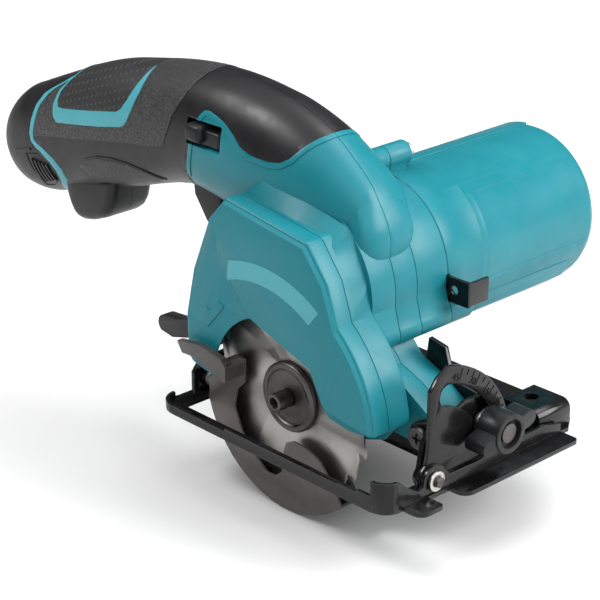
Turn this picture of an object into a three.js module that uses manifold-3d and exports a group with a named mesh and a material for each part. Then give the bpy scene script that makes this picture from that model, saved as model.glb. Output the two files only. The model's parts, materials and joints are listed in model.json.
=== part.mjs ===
// Compact cordless circular saw with an 85 mm blade, top handle and stick battery.
//
// Millimetres. +X is the cutting direction, +Y points from the blade towards the motor, +Z is up.
// The pieces are laid out with the blade's middle plane at y = 0 and the underside of the sole at
// z = 0, and the whole group is moved at the end so that its origin lies on the sole's wide side.

import * as THREE from "three";
import { mergeVertices } from "three/addons/utils/BufferGeometryUtils.js";
import Module from "manifold-3d";

const wasm = await Module();
wasm.setup();

// ---------------------------------------------------------------- driving dimensions

const BLADE_RADIUS = 42.5;
const BLADE_HALF = 0.5;
const BLADE_TEETH = 20;
const CUT_DEPTH = 25.5;
const SPINDLE_Z = BLADE_RADIUS - CUT_DEPTH;

const GAP = 0.3; // clearance between pieces that touch on the real saw
const WALL = 2.2; // moulded housing wall
const STEEL = 1.8; // pressed steel sheet of the sole and its brackets

const ORIGIN_Y = 40; // where the group's origin lies on the sole, from the blade plane
const SOLE_REAR_X = -55.6;
const SOLE_FRONT_X = 72.9;
const LIP_FRONT_X = 82.3;
const RAIL_Y = -22.7; // outer face of the narrow rail beside the blade
const RAIL_WIDTH = 6.6;
const SOLE_FAR_Y = 94;

const TILT_Y = 3.6; // bevel axis, along X
const TILT_Z = 6.5;
const SLOT_RADIUS = 32; // bevel stud to bevel axis
const STUD_ANGLE = 24; // bevel stud's direction from the bevel axis, from +Y, at no bevel
const BEVEL_RANGE = 45;
const QUADRANT_X = [69, 71];
const BRACKET_X = [65.6, 67.6];

const PIVOT_X = 59.5; // depth pivot, along Y
const PIVOT_Z = 17.4;
const PIVOT_BOSS = 5.7;
const DEPTH_RANGE = 25.4;
const DEPTH_BOLT = [-47, 30];
const GUIDE_Y = [11, 12.6];

const CASE_FACE_Y = -12;
const CASE_SEAM_Y = -2.4;
const CASE_BACK_Y = 9.5;
const CASE_FRONT_RADIUS = 55; // round the spindle
const WINDOW_RADIUS = 34.5; // round the spindle

const HANDLE_Y = 21; // parting plane of the two handle halves
const GEAR_COVER_Y = 33; // left housing meets the motor bracket
const MOTOR_SEAM_Y = 50; // motor bracket meets the motor housing
const MOTOR_END_Y = 143.5;
const MOTOR_Z = 62.8; // motor axis, straight above the spindle
const MOTOR_RADIUS = 34.5;

// Gear train: motor pinion, intermediate gear and pinion, drive gear on the spindle.
const FAST_MODULE = 0.8;
const SLOW_MODULE = 1;
const PINION_TEETH = 10;
const IDLER_TEETH = 62;
const IDLER_PINION_TEETH = 10;
const DRIVE_TEETH = 24;
const IDLER_Z = SPINDLE_Z + (SLOW_MODULE * (IDLER_PINION_TEETH + DRIVE_TEETH)) / 2;

const GUARD_RADIUS = 46.8;
const GUARD_HALF = 5.5;

// ---------------------------------------------------------------- colours

const TEAL = { color: 0x12808f, roughness: 0.45, metalness: 0 };
const BLACK_PLASTIC = { color: 0x1c1c1e, roughness: 0.5, metalness: 0 };
const GRIP_RUBBER = { color: 0x232325, roughness: 0.85, metalness: 0 };
const BLACK_STEEL = { color: 0x17171a, roughness: 0.35, metalness: 0.4 };
const GUARD_STEEL = { color: 0x4a4748, roughness: 0.45, metalness: 0.6 };
const BRIGHT_STEEL = { color: 0xb9b6b0, roughness: 0.3, metalness: 1 };
const DARK_STEEL = { color: 0x55524f, roughness: 0.4, metalness: 1 };
const COPPER = { color: 0xb0693a, roughness: 0.4, metalness: 1 };
const MAGNET = { color: 0x3a3a3d, roughness: 0.7, metalness: 0.2 };
const CELL_WRAP = { color: 0x2f6f8f, roughness: 0.5, metalness: 0 };

// ---------------------------------------------------------------- solids

function solidOf(geometry) {
  const bare = geometry.clone();
  bare.deleteAttribute("normal");
  bare.deleteAttribute("uv");
  const merged = mergeVertices(bare, 1e-4);
  return new wasm.Manifold(
    new wasm.Mesh({
      numProp: 3,
      vertProperties: merged.attributes.position.array,
      triVerts: new Uint32Array(merged.index.array),
    }),
  );
}

function geometryOf(solid) {
  const mesh = solid.getMesh();
  const geometry = new THREE.BufferGeometry();
  geometry.setAttribute("position", new THREE.BufferAttribute(mesh.vertProperties, 3));
  geometry.setIndex(new THREE.BufferAttribute(mesh.triVerts, 1));
  geometry.computeVertexNormals();
  return geometry;
}

const join = (...solids) => solids.reduce((all, one) => all.add(one));
const cut = (body, ...tools) => tools.reduce((left, tool) => left.subtract(tool), body);

function box([x0, x1], [y0, y1], [z0, z1]) {
  const geometry = new THREE.BoxGeometry(x1 - x0, y1 - y0, z1 - z0);
  return solidOf(geometry.translate((x0 + x1) / 2, (y0 + y1) / 2, (z0 + z1) / 2));
}

// Points of an arc, from angle a to angle b in degrees, in the plane of an outline.
function arc(u, v, radius, a, b, steps = 8) {
  return Array.from({ length: steps + 1 }, (_, i) => {
    const t = THREE.MathUtils.degToRad(a + ((b - a) * i) / steps);
    return [u + radius * Math.cos(t), v + radius * Math.sin(t)];
  });
}

function extruded(outline, depth) {
  const shape = new THREE.Shape(outline.map(([u, v]) => new THREE.Vector2(u, v)));
  return new THREE.ExtrudeGeometry(shape, { depth, bevelEnabled: false });
}

// An outline of [x, z] points, solid from y0 to y1.
function prismY(outline, y0, y1) {
  return solidOf(extruded(outline, y1 - y0).rotateX(Math.PI / 2).translate(0, y1, 0));
}

// An outline of [y, z] points, solid from x0 to x1.
function prismX(outline, x0, x1) {
  const turn = new THREE.Matrix4().makeBasis(
    new THREE.Vector3(0, 1, 0),
    new THREE.Vector3(0, 0, 1),
    new THREE.Vector3(1, 0, 0),
  );
  return solidOf(extruded(outline, x1 - x0).applyMatrix4(turn).translate(x0, 0, 0));
}

// An outline of [x, y] points, solid from z0 to z1.
function prismZ(outline, z0, z1) {
  return solidOf(extruded(outline, z1 - z0).translate(0, 0, z0));
}

function rodY(x, z, radius, y0, y1, sides = 24) {
  const geometry = new THREE.CylinderGeometry(radius, radius, y1 - y0, sides);
  return solidOf(geometry.translate(x, (y0 + y1) / 2, z));
}

function rodX(y, z, radius, x0, x1, sides = 20) {
  const geometry = new THREE.CylinderGeometry(radius, radius, x1 - x0, sides);
  return solidOf(geometry.rotateZ(Math.PI / 2).translate((x0 + x1) / 2, y, z));
}

function ringY(x, z, outer, inner, y0, y1, sides = 24) {
  return cut(rodY(x, z, outer, y0, y1, sides), rodY(x, z, inner, y0 - 1, y1 + 1, sides));
}

// A profile of [radius, y] points turned round the axis through (x, z) along Y.
function turnedY(x, z, profile, sides = 28) {
  const points = profile.map(([r, y]) => new THREE.Vector2(r, y));
  return solidOf(new THREE.LatheGeometry(points, sides).translate(x, 0, z));
}

// A skin through rings of points, closed at both ends. Every ring has the same number of points.
function loft(rings) {
  const count = rings[0].length;
  const points = rings.flat();
  const faces = [];
  for (let i = 0; i + 1 < rings.length; i++) {
    for (let j = 0; j < count; j++) {
      const k = (j + 1) % count;
      const [a, b, c, d] = [i * count + j, i * count + k, (i + 1) * count + k, (i + 1) * count + j];
      faces.push(a, b, c, a, c, d);
    }
  }
  const last = (rings.length - 1) * count;
  for (let j = 1; j + 1 < count; j++) {
    faces.push(0, j + 1, j, last, last + j, last + j + 1);
  }
  return new wasm.Manifold(
    new wasm.Mesh({
      numProp: 3,
      vertProperties: new Float32Array(points.flat()),
      triVerts: new Uint32Array(faces),
    }),
  );
}

const root = new THREE.Group();
root.position.y = -ORIGIN_Y;

function add(name, solid, look) {
  const mesh = new THREE.Mesh(geometryOf(solid), new THREE.MeshStandardMaterial(look));
  mesh.name = name;
  root.add(mesh);
}

// ---------------------------------------------------------------- base

// The sole: a plate with a long opening for the blade, an upturned lip along the rail that rises
// in steps to the front, a low front wall, a rear wall for the tilt pin and a thin front lip.
function solePlate() {
  const plate = prismZ(
    [
      [-46, RAIL_Y],
      [65, RAIL_Y],
      ...arc(65, RAIL_Y + 8, 8, -60, 0, 4),
      [73, -13.5],
      ...arc(LIP_FRONT_X - 4.5, -9, 4.5, -90, 0, 4),
      ...arc(LIP_FRONT_X - 1.5, -2.6, 1.5, 0, 90, 3),
      [74, -1.1],
      [74, 10.3],
      ...arc(LIP_FRONT_X - 5, 15.3, 5, -90, 0, 4),
      ...arc(LIP_FRONT_X - 2, 74, 2, 0, 90, 3),
      [SOLE_FRONT_X, 76],
      [SOLE_FRONT_X, 81],
      [68, 88],
      [60, SOLE_FAR_Y],
      ...arc(-44, SOLE_FAR_Y - 6, 6, 90, 180, 4),
      [-50, 30],
      [SOLE_REAR_X, 22],
      [SOLE_REAR_X, -12],
      ...arc(-47, RAIL_Y + 10, 10, 195, 262, 4),
    ],
    0,
    STEEL,
  );
  const opening = prismZ(
    [
      [-47, RAIL_Y + RAIL_WIDTH],
      [64, RAIL_Y + RAIL_WIDTH],
      [64, 22],
      [-40, 22],
      [-47, 15],
    ],
    -1,
    STEEL + 1,
  );
  const lipSteps = [
    [-46, -15, 3.8],
    [-15, 48, 5],
    [48, 58, 5.6],
    [58, 66, 6.5],
  ];
  const lip = lipSteps.map(([x0, x1, top]) => box([x0, x1], [RAIL_Y, RAIL_Y + 1.6], [1, top]));
  const rearCorner = prismZ(
    [...arc(-47, RAIL_Y + 10, 10, 185, 275, 6), ...arc(-47, RAIL_Y + 10, 8.4, 275, 185, 6)],
    1,
    3.8,
  );
  const frontCorner = prismZ(
    [...arc(65, RAIL_Y + 8, 8, -90, -8, 6), ...arc(65, RAIL_Y + 8, 6.4, -8, -90, 6)],
    1,
    12.5,
  );
  const frontWall = prismX(
    [
      [-18, 1],
      [-18, 12.5],
      [-14, 11.5],
      [-9, 7],
      [-5, 4.8],
      ...arc(TILT_Y, TILT_Z, 6.2, 190, 20, 6),
      [11.6, 6.5],
      [26.7, 6.1],
      [40, 7.6],
      [66, 7.6],
      [76, 5],
      [76, 1],
    ],
    71.4,
    SOLE_FRONT_X,
  );
  const rearWall = prismX(
    [
      [-4.5, 1],
      [-4.5, 10],
      [-1, 14.5],
      [11, 14.5],
      [16, 9],
      [18, 1],
    ],
    SOLE_REAR_X,
    SOLE_REAR_X + 1.6,
  );
  const pinHoles = rodX(TILT_Y, TILT_Z, 2.3, SOLE_REAR_X - 5, LIP_FRONT_X);
  return cut(join(cut(plate, opening), ...lip, rearCorner, frontCorner, frontWall, rearWall), pinHoles);
}

// The quadrant's slot and scale are arcs round the bevel axis.
function bevelQuadrant() {
  const plate = prismX(
    [
      [-3, 2.1],
      ...arc(TILT_Y, TILT_Z, 6.5, 200, 115, 5),
      [2, 18],
      [2.3, 42],
      [6, 46.5],
      [12, 49.6],
      ...arc(TILT_Y, TILT_Z, 44, 76, 8, 12),
      [48, 8],
      [46, 2.1],
    ],
    ...QUADRANT_X,
  );
  // The slot is a little wider outwards than the stud's collar, and its upper end is round.
  const [inner, outer] = [SLOT_RADIUS - 3.8, SLOT_RADIUS + 4.8];
  const start = STUD_ANGLE - 7;
  const end = STUD_ANGLE + BEVEL_RANGE + 7;
  const endRadius = (outer - inner) / 2;
  const endMiddle = inner + endRadius;
  const endY = TILT_Y + endMiddle * Math.cos(THREE.MathUtils.degToRad(end));
  const endZ = TILT_Z + endMiddle * Math.sin(THREE.MathUtils.degToRad(end));
  const slot = prismX(
    [
      ...arc(TILT_Y, TILT_Z, outer, start, end - 1, 12),
      ...arc(endY, endZ, endRadius, end, end + 180, 7),
      ...arc(TILT_Y, TILT_Z, inner, end - 1, start, 12),
    ],
    QUADRANT_X[0] - 1,
    QUADRANT_X[1] + 1,
  );
  const pinHole = rodX(TILT_Y, TILT_Z, 2.3, QUADRANT_X[0] - 1, QUADRANT_X[1] + 1);
  return cut(plate, slot, pinHole);
}

// Holder for the rip fence's bar, which slides through it along Y.
function fenceClamp() {
  const block = prismY(
    [
      [49.5, STEEL + GAP],
      [49.5, 10.5],
      [51.5, 12],
      [66.5, 12],
      ...arc(66.5, 8, 4, 80, 0, 4),
      [70.5, STEEL + GAP],
    ],
    66,
    84.5,
  );
  const passage = box([54, 67], [60, 90], [3.6, 9.4]);
  const screwHole = solidOf(
    new THREE.CylinderGeometry(3.2, 3.2, 8, 20).rotateX(Math.PI / 2).translate(58, 75, 11),
  );
  return cut(block, passage, screwHole);
}

const PIN_RADIUS = 2;
const tiltPin = (x0, x1) => rodX(TILT_Y, TILT_Z, PIN_RADIUS, x0, x1, 16);
const eClip = (x0, x1) =>
  cut(rodX(TILT_Y, TILT_Z, 4, x0, x1, 16), rodX(TILT_Y, TILT_Z, PIN_RADIUS + GAP, x0 - 1, x1 + 1, 16));

add("sole_plate", solePlate(), BLACK_STEEL);
add("bevel_quadrant", bevelQuadrant(), BLACK_STEEL);
add("fence_clamp", fenceClamp(), BLACK_STEEL);
add("front_tilt_pin", tiltPin(64, 76), BRIGHT_STEEL);
add("front_pin_clip", eClip(SOLE_FRONT_X + GAP, SOLE_FRONT_X + 1.4), BRIGHT_STEEL);
add("rear_tilt_pin", tiltPin(SOLE_REAR_X - 1.6, -50.4), BRIGHT_STEEL);
add("rear_pin_clip", eClip(-51.8, -51), BRIGHT_STEEL);

// ---------------------------------------------------------------- tilting brackets

const studY = TILT_Y + SLOT_RADIUS * Math.cos(THREE.MathUtils.degToRad(STUD_ANGLE));
const studZ = TILT_Z + SLOT_RADIUS * Math.sin(THREE.MathUtils.degToRad(STUD_ANGLE));
const EAR_NEAR_Y = [10, 12];
const EAR_FAR_Y = [GEAR_COVER_Y + 0.1, GEAR_COVER_Y + 2.1];

// Front bracket: a plate behind the quadrant with two ears that hold the depth pivot.
function frontBracket() {
  const plate = prismX(
    [
      ...arc(TILT_Y, TILT_Z, 4.6, 270, 130, 7),
      [2.5, 20],
      [8, 26.3],
      [20, 27.3],
      [26, 30],
      [34, 29.4],
      [41, 26],
      [42, 12],
      [37, 6],
      [20, 3],
    ],
    ...BRACKET_X,
  );
  const nearEar = prismY(
    [...arc(PIVOT_X, PIVOT_Z, 6, 110, 250, 7), [63, 11], [66, 11], [66, 26], [63, 26]],
    ...EAR_NEAR_Y,
  );
  const farEar = prismY(
    [
      ...arc(PIVOT_X, PIVOT_Z, 6, 190, 250, 4),
      [63, 11],
      [66, 11],
      [66, 30],
      [56, 31],
      [52, 35.2],
      [49.3, 43.5],
      [40.8, 45],
      [39.5, 36],
      [50, 26],
    ],
    ...EAR_FAR_Y,
  );
  const pinHole = rodX(TILT_Y, TILT_Z, PIN_RADIUS + GAP, BRACKET_X[0] - 1, BRACKET_X[1] + 1, 16);
  const studHole = rodX(studY, studZ, 2.8, BRACKET_X[0] - 1, BRACKET_X[1] + 1, 16);
  const pivotHole = rodY(PIVOT_X, PIVOT_Z, 2.8, 0, 50, 16);
  return cut(join(plate, nearEar, farEar), pinHole, studHole, pivotHole);
}

// Rear bracket: a cross plate on the tilt pin and an upright strip with the curved depth slot.
const guideRadius = Math.hypot(PIVOT_X - DEPTH_BOLT[0], DEPTH_BOLT[1] - PIVOT_Z);
const guideStart =
  180 - THREE.MathUtils.radToDeg(Math.atan2(DEPTH_BOLT[1] - PIVOT_Z, PIVOT_X - DEPTH_BOLT[0]));
const guideArc = (offset, from, to) => arc(PIVOT_X, PIVOT_Z, guideRadius + offset, from, to, 8);

function rearBracket() {
  const crossPlate = prismX(
    [
      ...arc(TILT_Y, TILT_Z, 4.6, 290, 150, 7),
      [-3, 12],
      [-1, 16],
      [14, 16],
      [14, 3.5],
      [8, 3.2],
    ],
    -53.7,
    -52.1,
  );
  const guide = prismY(
    [
      ...guideArc(7, guideStart + 3, guideStart - DEPTH_RANGE - 4),
      ...guideArc(-7, guideStart - DEPTH_RANGE - 4, guideStart + 2),
      [-42, 6],
      [-46, 3.5],
      [-53.5, 3.5],
      [-53.5, 16],
    ],
    ...GUIDE_Y,
  );
  const slot = prismY(
    [
      ...guideArc(3, guideStart + 1.6, guideStart - DEPTH_RANGE - 1.6),
      ...guideArc(-3, guideStart - DEPTH_RANGE - 1.6, guideStart + 1.6),
    ],
    GUIDE_Y[0] - 1,
    GUIDE_Y[1] + 1,
  );
  const pinHole = rodX(TILT_Y, TILT_Z, PIN_RADIUS + GAP, -55, -51, 16);
  return cut(join(crossPlate, guide), slot, pinHole);
}

// Wing nut with a round hub, hollow at its front, and two bar-shaped wings.
const WING_ANGLE = 13; // at rest, from +Y
const WING_X = [74, 83.4];

function knobWing(side) {
  const t = THREE.MathUtils.degToRad(WING_ANGLE);
  const at = (reach, across) => [
    studY + side * (reach * Math.cos(t) - across * Math.sin(t)),
    studZ + side * (reach * Math.sin(t) + across * Math.cos(t)),
  ];
  const bar = prismX([at(3, -3.4), at(12, -3.1), at(12, 3.1), at(3, 3.4)], ...WING_X);
  return join(bar, rodX(...at(11.9, 0), 3.1, ...WING_X, 16));
}

function bevelKnob() {
  const hub = join(rodX(studY, studZ, 8, 73.2, 84), knobWing(1), knobWing(-1));
  const recess = rodX(studY, studZ, 5.9, 81.6, 85);
  const bore = rodX(studY, studZ, 2.8, 72, 86, 16);
  return cut(hub, recess, bore);
}

// A stud pressed into the bracket, with a collar that stays inside the quadrant's slot. Its far
// end is riveted over, so that the nut stays on.
const bevelStud = () =>
  join(
    rodX(studY, studZ, 2.5, 65.9, 83, 16),
    rodX(studY, studZ, 3.6, 67.9, 68.7),
    rodX(studY, studZ, 3.9, 81.9, 83.2),
  );
const bevelWasher = () =>
  cut(rodX(studY, studZ, 7, QUADRANT_X[1] + GAP, 72.8), rodX(studY, studZ, 2.8, 70, 74, 16));

function depthPivotScrew() {
  const head = rodY(PIVOT_X, PIVOT_Z, 4.4, 7.2, EAR_NEAR_Y[0] - GAP);
  const shank = rodY(PIVOT_X, PIVOT_Z, 2.5, 8, EAR_FAR_Y[1] + 3, 16);
  const recess = join(
    box([PIVOT_X - 2.2, PIVOT_X + 2.2], [7, 8.6], [PIVOT_Z - 0.5, PIVOT_Z + 0.5]),
    box([PIVOT_X - 0.5, PIVOT_X + 0.5], [7, 8.6], [PIVOT_Z - 2.2, PIVOT_Z + 2.2]),
  );
  return cut(join(head, shank), recess);
}

add("front_bracket", frontBracket(), BLACK_STEEL);
add("rear_bracket", rearBracket(), BLACK_STEEL);
add("bevel_stud", bevelStud(), DARK_STEEL);
add("bevel_washer", bevelWasher(), BRIGHT_STEEL);
add("bevel_knob", bevelKnob(), BLACK_PLASTIC);
add("depth_pivot_screw", depthPivotScrew(), BLACK_STEEL);

// ---------------------------------------------------------------- handle

// Stations along the handle, rear to front: crown point, belly point (x, z) and half width, with
// what the left side adds to it where the head widens towards the motor.
const HANDLE_STATIONS = [
  { crown: [-177.3, 102.1], belly: [-160.5, 55.6], half: 18 },
  { crown: [-160, 109.5], belly: [-143, 60], half: 19 },
  { crown: [-141, 117], belly: [-127, 65], half: 19.8 },
  { crown: [-122, 123.3], belly: [-111, 70.5], half: 20 },
  { crown: [-102, 128.2], belly: [-96, 75.5], half: 19.8 },
  { crown: [-82, 131.8], belly: [-82, 79.5], half: 19.5 },
  { crown: [-65, 133.6], belly: [-71, 81], half: 19.5 },
  { crown: [-49, 133.5], belly: [-60, 80], half: 20 },
  { crown: [-33, 131.5], belly: [-50, 78], half: 20, left: 1 },
  { crown: [-18, 127.8], belly: [-38, 74], half: 20, left: 2 },
  { crown: [0, 120.6], belly: [-22, 68], half: 19, left: 5 },
  { crown: [13.5, 111.2], belly: [-8, 64], half: 17.5, left: 7.2 },
  { crown: [21.5, 104], belly: [2, 62], half: 15.5, left: 9 },
];
const SECTION_POINTS = 20;
const SECTION_POWER = 2 / 2.1; // a little squarer than an ellipse

function handleRing({ crown, belly, half, left = 0 }, inset) {
  const [cx, cz] = [(crown[0] + belly[0]) / 2, (crown[1] + belly[1]) / 2];
  const reach = Math.hypot(crown[0] - belly[0], crown[1] - belly[1]) / 2;
  const shrink = (reach - inset) / reach;
  const [ux, uz] = [((crown[0] - belly[0]) / 2) * shrink, ((crown[1] - belly[1]) / 2) * shrink];
  const soften = (v) => Math.sign(v) * Math.abs(v) ** SECTION_POWER;
  return Array.from({ length: SECTION_POINTS }, (_, i) => {
    const t = (2 * Math.PI * (i + 0.5)) / SECTION_POINTS;
    const [up, side] = [soften(Math.sin(t)), soften(Math.cos(t))];
    const reachY = half - inset + (side > 0 ? left : 0);
    return [cx + ux * up, HANDLE_Y + reachY * side, cz + uz * up];
  });
}

const handleBody = loft(HANDLE_STATIONS.map((station) => handleRing(station, 0)));
const rearExtension = { crown: [-196, 97], belly: [-178, 47], half: 19 };
const handleHollow = loft(
  [rearExtension, ...HANDLE_STATIONS.slice(0, 11)].map((station) => handleRing(station, WALL - 0.2)),
);

// Foot under the rear of the grip, split between the halves like the grip itself.
const gripFoot = prismY(
  [
    [-156.5, 60],
    [-153, 53],
    [-150, 49.3],
    [-147, 47.9],
    [-143, 47.8],
    [-136, 49.2],
    [-126, 52.6],
    [-121.5, 55],
    [-119, 58.5],
    [-117.8, 63],
    [-116, 74],
    [-150, 68],
  ],
  HANDLE_Y - 13,
  HANDLE_Y + 13,
);

// Nose of the head: an upright rib on the parting plane.
const headNose = prismY(
  [
    [8, 108],
    [21.5, 103.5],
    [26.3, 96.9],
    [29.4, 91],
    [31.2, 84.9],
    [30.8, 76.7],
    [16, 74],
    [2, 80],
  ],
  HANDLE_Y - 11,
  HANDLE_Y + 12,
);

// ---------------------------------------------------------------- blade case and gear section

const caseFront = (radius) => arc(0, SPINDLE_Z, radius, 51, 5, 7);

function caseOutline(inset, bottom) {
  const i = inset;
  return [
    [-48 + i, 19],
    [-50.5 + i, 22],
    [-51 + i, 40],
    [-46.4 + i, 60],
    [-36.4 + i, 84 - i * 0.4],
    [-26.5 + i * 0.6, 95 - i],
    [18.5 - i * 0.6, 88.8 - i],
    [29.2 - i, 75.2 - i * 0.4],
    ...caseFront(CASE_FRONT_RADIUS - i),
    ...bottom,
  ];
}

const OPEN_BOTTOM = [
  [50, -20],
  [-46, -20],
];
// The round part clears the guard, whose rim passes through the rear wall as it swings up.
const caseHollow = (y0, y1) =>
  join(prismY(caseOutline(WALL, OPEN_BOTTOM), y0, y1), rodY(0, SPINDLE_Z, 49.4, y0, y1, 48));

// Outer cover over the blade, with the window that shows the flange.
function bladeCaseCover() {
  const closed = prismY(
    caseOutline(0, [
      [44, 19.8],
      [-36, 16.5],
    ]),
    CASE_FACE_Y,
    CASE_SEAM_Y,
  );
  const window = prismY(
    [
      [-36, 10],
      [-34.4, 19],
      ...arc(0, SPINDLE_Z, WINDOW_RADIUS, 176, 111, 8),
      [21.2, 38.3],
      [28.3, 24.4],
      [30.8, 22],
      [48, 19],
      [48, 10],
    ],
    CASE_FACE_Y - 1,
    CASE_FACE_Y + WALL + 0.5,
  );
  return cut(closed, caseHollow(CASE_FACE_Y + WALL, CASE_SEAM_Y + 1), window);
}

// Section shared by the gear housing, the motor bracket and the front of the motor housing.
const MOTOR_BOSS_LOW = [32, 48];
const MOTOR_BOSS_TOP = [-2, 102.5];
function motorSection(y0, y1, grow = 0) {
  return join(
    rodY(0, MOTOR_Z, MOTOR_RADIUS + grow, y0, y1, 36),
    rodY(...MOTOR_BOSS_LOW, 5.5 + grow, y0, y1, 16),
    rodY(...MOTOR_BOSS_TOP, 5 + grow, y0, y1, 16),
    box([-6.6 - grow, 2.6 + grow], [y0, y1], [90, 102]),
    prismY(
      [
        [10, 50],
        [20, 34.5],
        [30, 42.9],
        [37.5, 48],
        [33, 64],
      ],
      y0,
      y1,
    ),
  );
}

// Web from the gear section down to the depth pivot. Its front edge leans back far enough
// to stay behind the front bracket when the saw is swung up.
function pivotArm(y0, y1) {
  const web = prismY(
    [
      [64.6, 19.9],
      [62, 25],
      [49, 32.8],
      [38, 37.2],
      [30, 46],
      [22, 30],
      [40, 13],
      [58, 12],
    ],
    y0,
    y1,
  );
  return cut(
    join(web, rodY(PIVOT_X, PIVOT_Z, PIVOT_BOSS, y0, y1)),
    rodY(PIVOT_X, PIVOT_Z, 2.8, y0 - 1, y1 + 1, 16),
  );
}

const screwBores = (y0, y1) =>
  join(rodY(...MOTOR_BOSS_LOW, 2.2, y0, y1, 12), rodY(...MOTOR_BOSS_TOP, 2.2, y0, y1, 12));

const RIGHT_END = HANDLE_Y - GAP / 2;
const LEFT_START = HANDLE_Y + GAP / 2;
const rightSide = box([-250, 120], [-60, RIGHT_END], [-60, 200]);
const leftSide = box([-250, 120], [LEFT_START, 60], [-60, 200]);
const triggerSlot = box([-79, -52], [HANDLE_Y - 8.4, HANDLE_Y + 8.4], [70, 100]);
const handleShell = cut(join(handleBody, gripFoot, headNose), handleHollow, triggerSlot);

// Space for the gear train, open towards the left housing.
const gearSpace = join(
  rodY(0, MOTOR_Z, 8, 13.5, 40),
  rodY(0, IDLER_Z, 26.4, 15.6, 40, 32),
  rodY(0, IDLER_Z, 7.5, CASE_BACK_Y + 0.4, 20),
  rodY(0, SPINDLE_Z, 13.7, CASE_BACK_Y + 0.4, 15.7),
);

const guidePocket = prismY(
  [...guideArc(9, 178, 138), ...guideArc(-9, 138, 178)],
  GUIDE_Y[0] - 0.6,
  GUIDE_Y[1] + 0.6,
);

// Right half of the handle, head and inner blade case, in one moulding.
function rightHousing() {
  const blade = prismY(
    caseOutline(0, [
      [50, 19.5],
      [43, 11],
      [20, 3],
      [-20, 3],
      [-40, 12],
    ]),
    CASE_SEAM_Y + GAP,
    CASE_BACK_Y,
  );
  const gears = join(
    motorSection(CASE_BACK_Y - 1, RIGHT_END),
    rodY(0, IDLER_Z, 28.4, CASE_BACK_Y - 1, RIGHT_END, 32),
    rodY(0, SPINDLE_Z, 15.3, CASE_BACK_Y - 1, 17),
    rodY(...DEPTH_BOLT, 5.5, GUARD_HALF + 0.4, GUIDE_Y[0] - 0.9, 16),
  );
  const shell = handleShell.intersect(rightSide);
  const body = join(cut(blade, caseHollow(CASE_SEAM_Y - 1, CASE_BACK_Y - WALL)), gears, shell);
  const bearingBoss = rodY(0, SPINDLE_Z, 12, 6, 8);
  const lockOffHole = box([-62, -42], [-5, 12], [105.2, 116]);
  return cut(
    join(body, bearingBoss, pivotArm(EAR_NEAR_Y[1] + GAP, RIGHT_END)),
    handleHollow,
    gearSpace,
    rodY(0, SPINDLE_Z, 10.3, 5, 13),
    rodY(0, IDLER_Z, 3.3, 7, 13, 16),
    rodY(...DEPTH_BOLT, 2.8, 3, 12, 16),
    screwBores(12, 30),
    lockOffHole,
    guidePocket,
  );
}

// Left half of the handle and head, with the wall that carries the front motor bearing.
const MOTOR_SPACE = MOTOR_RADIUS - WALL;
const motorRecess = motorSection(GEAR_COVER_Y - GAP, 60, GAP);
const hookSlot = box([30, 50], [MOTOR_SEAM_Y - 1, MOTOR_SEAM_Y + 1.2], [53.2, 64.4]);
function leftHousing() {
  const end = GEAR_COVER_Y - GAP;
  const gears = join(
    motorSection(LEFT_START, end),
    rodY(0, IDLER_Z, 28.4, LEFT_START, 24, 32),
    pivotArm(LEFT_START, end),
  );
  const fanSpace = cut(
    rodY(0, MOTOR_Z, MOTOR_SPACE, 24, 40, 36),
    rodY(0, MOTOR_Z, 9, 20, 28.2),
  );
  const shell = cut(handleShell.intersect(leftSide), motorRecess);
  const idlerPocket = rodY(0, IDLER_Z, 3.4, 20, 23, 16);
  return cut(
    join(gears, shell),
    handleHollow,
    fanSpace,
    rodY(0, MOTOR_Z, 6.9, 23.8, 30),
    rodY(0, MOTOR_Z, 4.5, 15, 30, 16),
    idlerPocket,
    screwBores(20, 40),
  );
}

function motorBracket() {
  const [y0, y1] = [GEAR_COVER_Y, MOTOR_SEAM_Y - GAP];
  return cut(
    motorSection(y0, y1),
    rodY(0, MOTOR_Z, MOTOR_SPACE, y0 - 1, y1 + 1, 36),
    screwBores(y0 - 1, y1 + 1),
    hookSlot,
  );
}

// Motor housing: a cup with a rounded end and two screw bosses at its mouth.
function motorHousing() {
  const outside = turnedY(
    0,
    MOTOR_Z,
    [
      [0, MOTOR_SEAM_Y],
      [MOTOR_RADIUS, MOTOR_SEAM_Y],
      [MOTOR_RADIUS, MOTOR_END_Y - 6],
      [MOTOR_RADIUS - 1.2, MOTOR_END_Y - 2.6],
      [MOTOR_RADIUS - 3.4, MOTOR_END_Y - 0.7],
      [MOTOR_RADIUS - 6.5, MOTOR_END_Y],
      [0, MOTOR_END_Y],
    ],
    36,
  );
  const mouth = motorSection(MOTOR_SEAM_Y, 62);
  const hollow = cut(
    rodY(0, MOTOR_Z, MOTOR_SPACE - 1, MOTOR_SEAM_Y - 1, MOTOR_END_Y - WALL - 1, 36),
    ringY(0, MOTOR_Z, 9, 6.8, 111.6, MOTOR_END_Y),
  );
  const screwSeat = rodY(...MOTOR_BOSS_LOW, 3.8, 62, 72, 16);
  return cut(join(outside, mouth), hollow, screwBores(40, 70), screwSeat, hookSlot);
}

add("right_housing", rightHousing(), TEAL);
add("left_housing", leftHousing(), TEAL);
add("blade_case_cover", bladeCaseCover(), TEAL);
add("motor_bracket", motorBracket(), TEAL);
add("motor_housing", motorHousing(), TEAL);

const motorScrew = ([x, z]) =>
  join(rodY(x, z, 1.9, 24, 60, 12), rodY(x, z, 3.4, 62 + GAP, 65), rodY(x, z, 1.9, 59, 63, 12));
add("motor_screw_upper", motorScrew(MOTOR_BOSS_TOP), BRIGHT_STEEL);
add("motor_screw_lower", motorScrew(MOTOR_BOSS_LOW), BRIGHT_STEEL);

// ---------------------------------------------------------------- motor

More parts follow.
